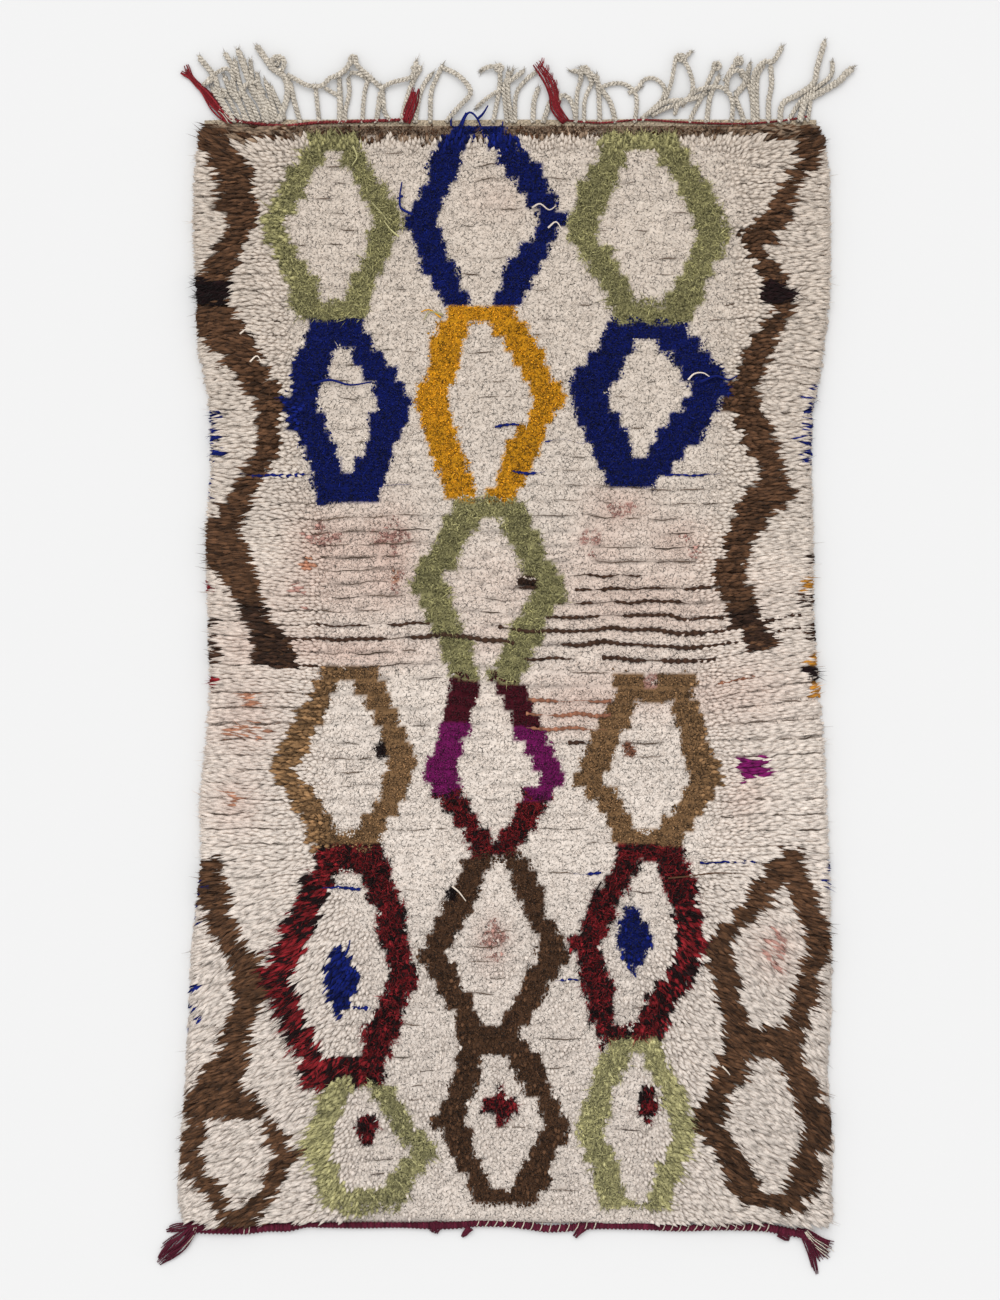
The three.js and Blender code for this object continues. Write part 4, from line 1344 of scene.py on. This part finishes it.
WEFTS = (
    Weft("umber", 276, 430, 624, 0.55), Weft("umber", 284, 516, 638, 0.95),
    Weft("umber", 209, 318, 664, 0.5), Weft("umber", 568, 655, 573, 0.45),
    Weft("umber", 575, 712, 586, 0.75), Weft("umber", 558, 716, 600, 0.6),
    Weft("umber", 546, 730, 614, 0.85), Weft("umber", 498, 813, 628, 1.0),
    Weft("umber", 540, 813, 641, 0.9), Weft("umber", 602, 716, 655, 0.85),
    Weft("umber", 520, 580, 662, 0.4), Weft("umber", 745, 812, 668, 0.6),
    Weft("rust", 718, 772, 682, 0.75), Weft("rust", 528, 612, 696, 0.6),
    Weft("rust", 526, 612, 709, 0.95), Weft("rust", 526, 608, 722, 0.7),
    Weft("umber", 568, 592, 743, 0.6), Weft("umber", 508, 536, 586, 0.8),
    Weft("blue", 545, 595, 437, 0.5), Weft("blue", 495, 520, 431, 0.5),
    Weft("blue", 665, 722, 468, 0.5), Weft("blue", 512, 546, 476, 0.4),
    Weft("blue", 555, 602, 866, 0.6), Weft("blue", 700, 770, 857, 0.5),
    Weft("blue", 240, 318, 480, 0.6), Weft("blue", 384, 412, 482, 0.5),
    Weft("blue", 322, 362, 894, 0.6), Weft("blue", 300, 372, 1006, 0.6),
    Weft("blue", 555, 580, 977, 0.5),
)
WEFT_RADIUS = 3.7 * MM
BEAD_COLUMNS = 7.0
WEFT_COLUMNS = 1.6
# Painted shadow: tone of the dark tubes that stand for shade in the creases between rows
CREASE_SHADOW_TONE = (104, 86, 72)
CREASE_RADIUS = 0.95 * MM
VALLEY_LIFT = 2.4 * MM
CREASES_BEGIN = (470, 540)
HALF_WIDTH_COLUMNS = 310
VALLEY_LINES = (ROW_LINES[1:] + ROW_LINES[:-1]) / 2


def valley_course(valley, columns, lift):
    """A wavering course in the valley between two rows of knots, just under the tips of the wool."""
    line = row_line(valley, columns) + 0.8 * drift(columns, valley * 3.1, 8, 0.30)
    x, y = chart_xy(columns, line)
    height = packed_height(columns, line, np.full(len(columns), 0.8)) + lift
    return np.column_stack((x, y, height))


def weft_yarns():
    """Dyed wefts that show between the rows of knots, as beaded yarns."""
    runs = []
    for weft in WEFTS:
        columns = np.arange(weft.first, weft.last, WEFT_COLUMNS)
        valleys = row_line(VALLEY_LINES, np.full(len(VALLEY_LINES), (weft.first + weft.last) / 2))
        course = valley_course(VALLEY_LINES[np.argmin(np.abs(valleys - weft.line))], columns, VALLEY_LIFT)
        level = columns * 0
        uneven = 1.5 * drift(columns, level, 9, 0.1)
        bead = 0.5 + 0.5 * np.sin(columns * 2 * math.pi / BEAD_COLUMNS + uneven)
        hidden = 0.5 * drift(columns, level + weft.line * 9, 10, 0.12)
        shown = smooth_step(-0.12, 0.12, weft.share - 0.5 - hidden)
        swell = 0.3 * drift(columns, level + weft.line * 5, 13, 0.08)
        thick = WEFT_RADIUS * (0.5 + 0.7 * weft.share) * (1 + swell)
        radius = thick * (0.45 + 0.55 * bead) * (0.12 + 0.88 * shown)
        shade = 1 + 0.25 * rng.normal(0, 1, (len(columns), 1))
        runs.append((course, radius, YARN_TONES[YARN_INDEX[weft.yarn]] * np.clip(shade, 0.4, 1.6)))
    return tube_piece("weft_yarns", runs, 6)


def row_crease_shadows():
    """Thin dark tubes laid in the creases between rows, in short broken lengths, as painted shadow where the
    rows meet.
    """
    runs = []
    for valley in VALLEY_LINES:
        left, right = side_columns(valley)
        closed = CLOSED_SHARE * smooth_step(*ROWS_CLOSE_UP, valley)
        opened = smooth_step(*CREASES_BEGIN, valley) * (1 - closed)
        start = left + 4
        while start < right - 12:
            across = abs(start - MIDDLE_COLUMN) / HALF_WIDTH_COLUMNS
            share = 0.30 + 0.62 * opened + 0.10 * smooth_step(0.55, 0.85, across)
            length = rng.uniform(8, 26) + 60 * opened * rng.uniform(0, 1)
            stop = min(start + length, right - 3)
            columns = np.linspace(start, stop, max(4, int((stop - start) / 2.6)))
            knots = charted_yarn(columns, np.full(len(columns), valley), np.ones(len(columns)))
            if rng.uniform() < share and stop - start > 6 and (knots == IVORY).all():
                course = valley_course(valley, columns, VALLEY_LIFT)
                taper = np.sin(np.linspace(0.15, math.pi - 0.15, len(columns)))
                radius = CREASE_RADIUS * (1 + 0.25 * opened) * taper * rng.uniform(0.6, 1.3)
                # Painted shadow along the crease
                runs.append((course, radius, linear_tone(CREASE_SHADOW_TONE) * rng.uniform(0.5, 1.2)))
            start = stop + rng.uniform(1, 5)
    return tube_piece("row_crease_shadows", runs, 3)


# Materials


def node(tree, kind, place, values=None, **settings):
    """A shader node at a place in the tree, with the values of its sockets and its settings."""
    made = tree.nodes.new(kind)
    made.location = place
    for key, value in settings.items():
        setattr(made, key, value)
    for socket, value in (values or {}).items():
        made.inputs[socket].default_value = value
    return made


def join(tree, *joins):
    """Links node to node: source, output, target and input of each."""
    for source, output, target, into in joins:
        tree.links.new(source.outputs[output], target.inputs[into])


def yarn_group(name):
    """A group that takes a yarn's colour, fibre scale and mottle, and gives a colour and a height."""
    group = bpy.data.node_groups.new(name, "ShaderNodeTree")
    for socket, kind in (("Yarn Colour", "Color"), ("Fibre Scale", "Float"), ("Mottle", "Float")):
        group.interface.new_socket(socket, in_out="INPUT", socket_type="NodeSocket" + kind)
    for socket, kind in (("Colour", "Color"), ("Height", "Float")):
        group.interface.new_socket(socket, in_out="OUTPUT", socket_type="NodeSocket" + kind)
    return group, node(group, "NodeGroupInput", (-1300, 0)), node(group, "NodeGroupOutput", (700, 0))


def shade_yarn(group, start, shade, end):
    """Darkens the yarn's colour by a shade between 0 and 1 and hands it to the group's end."""
    grey = node(group, "ShaderNodeCombineColor", (240, 160))
    tint = node(group, "ShaderNodeMix", (420, 60), data_type="RGBA", blend_type="MULTIPLY")
    tint.inputs["Factor"].default_value = 1.0
    for channel in ("Red", "Green", "Blue"):
        join(group, (shade, 0, grey, channel))
    group.links.new(start.outputs["Yarn Colour"], tint.inputs["A"])
    group.links.new(grey.outputs["Color"], tint.inputs["B"])
    group.links.new(tint.outputs["Result"], end.inputs["Colour"])


def wool_fibre_group():
    """Shared by all yarns: darkens and lightens a colour along its fibres, and gives their relief."""
    group, start, end = yarn_group("wool_fibres")
    place = node(group, "ShaderNodeTexCoord", (-1300, 260))
    fibres = node(group, "ShaderNodeTexNoise", (-700, 200), {"Detail": 2.0, "Roughness": 0.6})
    spread = node(group, "ShaderNodeMapRange", (-500, 200), {"From Min": 0.3, "From Max": 0.7})
    dark = node(group, "ShaderNodeMath", (-280, -60), {0: 1.0}, operation="SUBTRACT")
    shade = node(group, "ShaderNodeMath", (-20, 200), operation="MULTIPLY_ADD")
    join(
        group,
        (place, "Object", fibres, "Vector"),
        (start, "Fibre Scale", fibres, "Scale"),
        (fibres, "Fac", spread, "Value"),
        (start, "Mottle", dark, 1),
        (spread, "Result", shade, 0),
        (start, "Mottle", shade, 1),
        (dark, 0, shade, 2),
        (fibres, "Fac", end, "Height"),
    )
    shade_yarn(group, start, shade, end)
    return group


def felt_group():
    """Packed wool seen on its cut ends: close cells with broken dark cracks of painted shade between them,
    and relief.
    """
    group, start, end = yarn_group("packed_wool")
    place = node(group, "ShaderNodeTexCoord", (-1300, 260))
    sway = node(group, "ShaderNodeTexNoise", (-1100, 420), {"Scale": 90.0})
    bend = node(group, "ShaderNodeVectorMath", (-900, 300), operation="MULTIPLY_ADD")
    bend.inputs[1].default_value = (0.010, 0.010, 0.0)
    cells = node(group, "ShaderNodeTexVoronoi", (-700, 300), voronoi_dimensions="2D")
    cells.feature = "DISTANCE_TO_EDGE"
    cells.inputs["Scale"].default_value = 170.0
    # Painted shade: dark cracks between the cells, broken up by noise
    crack_shade = node(group, "ShaderNodeMapRange", (-500, 300), {"From Max": 0.18, "To Min": 1.0, "To Max": 0.0})
    broken = node(group, "ShaderNodeTexNoise", (-700, 20), {"Scale": 210.0})
    depth = node(group, "ShaderNodeMapRange", (-500, 20), {"From Min": 0.43, "From Max": 0.64, "To Max": 0.9})
    dark = node(group, "ShaderNodeMath", (-280, 200), operation="MULTIPLY")
    grain = node(group, "ShaderNodeTexNoise", (-700, -260), {"Detail": 2.0})
    speck = node(group, "ShaderNodeMapRange", (-500, -260), {"From Min": 0.3, "From Max": 0.7})
    loss = node(group, "ShaderNodeMath", (-280, -200), operation="MULTIPLY")
    total = node(group, "ShaderNodeMath", (-80, 40), operation="ADD")
    shade = node(group, "ShaderNodeMath", (80, 40), {0: 1.0}, operation="SUBTRACT")
    join(
        group,
        (place, "Object", sway, "Vector"),
        (sway, "Color", bend, 0),
        (place, "Object", bend, 2),
        (bend, 0, cells, "Vector"),
        (place, "Object", broken, "Vector"),
        (place, "Object", grain, "Vector"),
        (start, "Fibre Scale", grain, "Scale"),
        (cells, "Distance", crack_shade, "Value"),
        (broken, "Fac", depth, "Value"),
        (crack_shade, "Result", dark, 0),
        (depth, "Result", dark, 1),
        (grain, "Fac", speck, "Value"),
        (speck, "Result", loss, 0),
        (start, "Mottle", loss, 1),
        (dark, 0, total, 0),
        (loss, 0, total, 1),
        (total, 0, shade, 1),
        (shade, 0, end, "Height"),
    )
    shade_yarn(group, start, shade, end)
    return group


def yarn_material(name, fibres, fibre_scale, mottle, relief, sheen):
    """Wool in the tone that each strand carries, with its fibres."""
    material = bpy.data.materials.new(name)
    material.use_nodes = True
    tree = material.node_tree
    shader = tree.nodes["Principled BSDF"]
    shader.inputs["Roughness"].default_value = 0.92
    shader.inputs["Specular IOR Level"].default_value = 0.12
    shader.inputs["Sheen Weight"].default_value = sheen
    shader.inputs["Sheen Roughness"].default_value = 0.5
    tone = node(tree, "ShaderNodeAttribute", (-700, 100), attribute_name=YARN_TONE)
    wool = node(tree, "ShaderNodeGroup", (-450, 100), node_tree=fibres)
    wool.inputs["Fibre Scale"].default_value = fibre_scale
    wool.inputs["Mottle"].default_value = mottle
    bump = node(tree, "ShaderNodeBump", (-220, -150))
    bump.inputs["Strength"].default_value = relief
    bump.inputs["Distance"].default_value = 1.0 * MM
    join(
        tree,
        (tone, "Color", wool, "Yarn Colour"),
        (wool, "Colour", shader, "Base Color"),
        (wool, "Height", bump, "Height"),
        (bump, "Normal", shader, "Normal"),
    )
    return material


def dress(piece, material, slot, *nodes):
    """Gives a piece its material, lets it ride on the body, and hides the solids it stands for; the slot is
    not used.
    """
    piece.data.materials.clear()
    piece.data.materials.append(material)
    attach(piece, "root")
    if nodes:
        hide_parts(*nodes)
    return piece


# Camera, light and floor

VIEW_COLUMN, VIEW_LINE = 500, 650
VIEW_LINES = 1300
CAMERA_HEIGHT = 6.0
RUG_TOP = 15 * MM


def photo_camera():
    """Straight above the rug, with its upper end at the top of the picture."""
    data = bpy.data.cameras.new("camera")
    data.sensor_width = 36.0
    data.lens = data.sensor_width * (CAMERA_HEIGHT - RUG_TOP) / (VIEW_LINES * CHART_STEP)
    camera = placed("camera", data)
    x, y = chart_xy(VIEW_COLUMN, VIEW_LINE)
    camera.location = (x, y, CAMERA_HEIGHT)
    bpy.context.scene.camera = camera


FLOOR_SIZE = 30.0
FLOOR_TONE = (0.67, 0.67, 0.67, 1.0)
DOME_STRENGTH = 0.95
LAMP_STRENGTH = 1.45
LAMP_WIDTH = math.radians(50)
LAMP_DIRECTION = Vector((0.15, -0.55, -1.0))


def studio():
    """A plain pale floor under an even white dome, with one wide soft lamp from the upper left."""
    scene = bpy.context.scene
    scene.view_settings.view_transform = "Standard"
    world = bpy.data.worlds.new("dome")
    world.use_nodes = True
    sky = world.node_tree.nodes["Background"]
    sky.inputs["Color"].default_value = (1.0, 1.0, 1.0, 1.0)
    sky.inputs["Strength"].default_value = DOME_STRENGTH
    scene.world = world
    data = bpy.data.lights.new("soft_lamp", "SUN")
    data.energy = LAMP_STRENGTH
    data.angle = LAMP_WIDTH
    lamp = placed("soft_lamp", data)
    lamp.rotation_euler = LAMP_DIRECTION.to_track_quat("-Z", "Y").to_euler()

    shape = bmesh.new()
    bmesh.ops.create_grid(shape, x_segments=4, y_segments=4, size=FLOOR_SIZE / 2)
    mesh = bpy.data.meshes.new("floor")
    shape.to_mesh(mesh)
    shape.free()
    floor = placed("floor", mesh)
    paint = bpy.data.materials.new("pale_floor")
    paint.use_nodes = True
    shader = paint.node_tree.nodes["Principled BSDF"]
    shader.inputs["Base Color"].default_value = FLOOR_TONE
    shader.inputs["Roughness"].default_value = 0.9
    shader.inputs["Specular IOR Level"].default_value = 0.1
    mesh.materials.append(paint)


photo_camera()
studio()

fibres = wool_fibre_group()
packed_wool = yarn_material("packed_wool", felt_group(), 480.0, 0.13, 0.45, 0.04)
pile_wool = yarn_material("pile_wool", fibres, 480.0, 0.26, 0.6, 0.04)
warp_yarn = yarn_material("warp_yarn", fibres, 430.0, 0.72, 1.0, 0.04)
red_yarn = yarn_material("red_yarn", fibres, 480.0, 0.60, 1.0, 0.04)
burgundy_yarn = yarn_material("burgundy_yarn", fibres, 480.0, 0.60, 1.0, 0.04)

ground = dress(ground_weave(), packed_wool, "pile_wool", "pile_rug")
pile = [dress(piece, pile_wool, "pile_wool") for piece in lying_locks()]
pile += [dress(piece, packed_wool, "pile_wool") for piece in standing_tufts()]
pile += [dress(piece, pile_wool, "pile_wool") for piece in (weft_yarns(), row_crease_shadows(), loose_threads())]
strip = dress(upper_weave(), warp_yarn, "warp_yarn", "top_fringe")
trim = [dress(piece, warp_yarn, "warp_yarn", "top_fringe") for piece in warp_fringe()]
trim.append(dress(red_yarn_left(), red_yarn, "red_yarn", "red_twining_left"))
trim.append(dress(red_yarn_right(), red_yarn, "red_yarn", "red_twining_right"))
trim += [dress(piece, burgundy_yarn, "burgundy_yarn", "bottom_binding") for piece in bound_cord()]
trim.append(dress(cream_stitches(), burgundy_yarn, "burgundy_yarn"))
left_tassel = corner_tassel("tassel_yarns_left", LEFT_TASSEL)
right_tassel = corner_tassel("tassel_yarns_right", RIGHT_TASSEL)
trim.append(dress(left_tassel, burgundy_yarn, "burgundy_yarn", "tassel_left"))
trim.append(dress(right_tassel, burgundy_yarn, "burgundy_yarn", "tassel_right"))
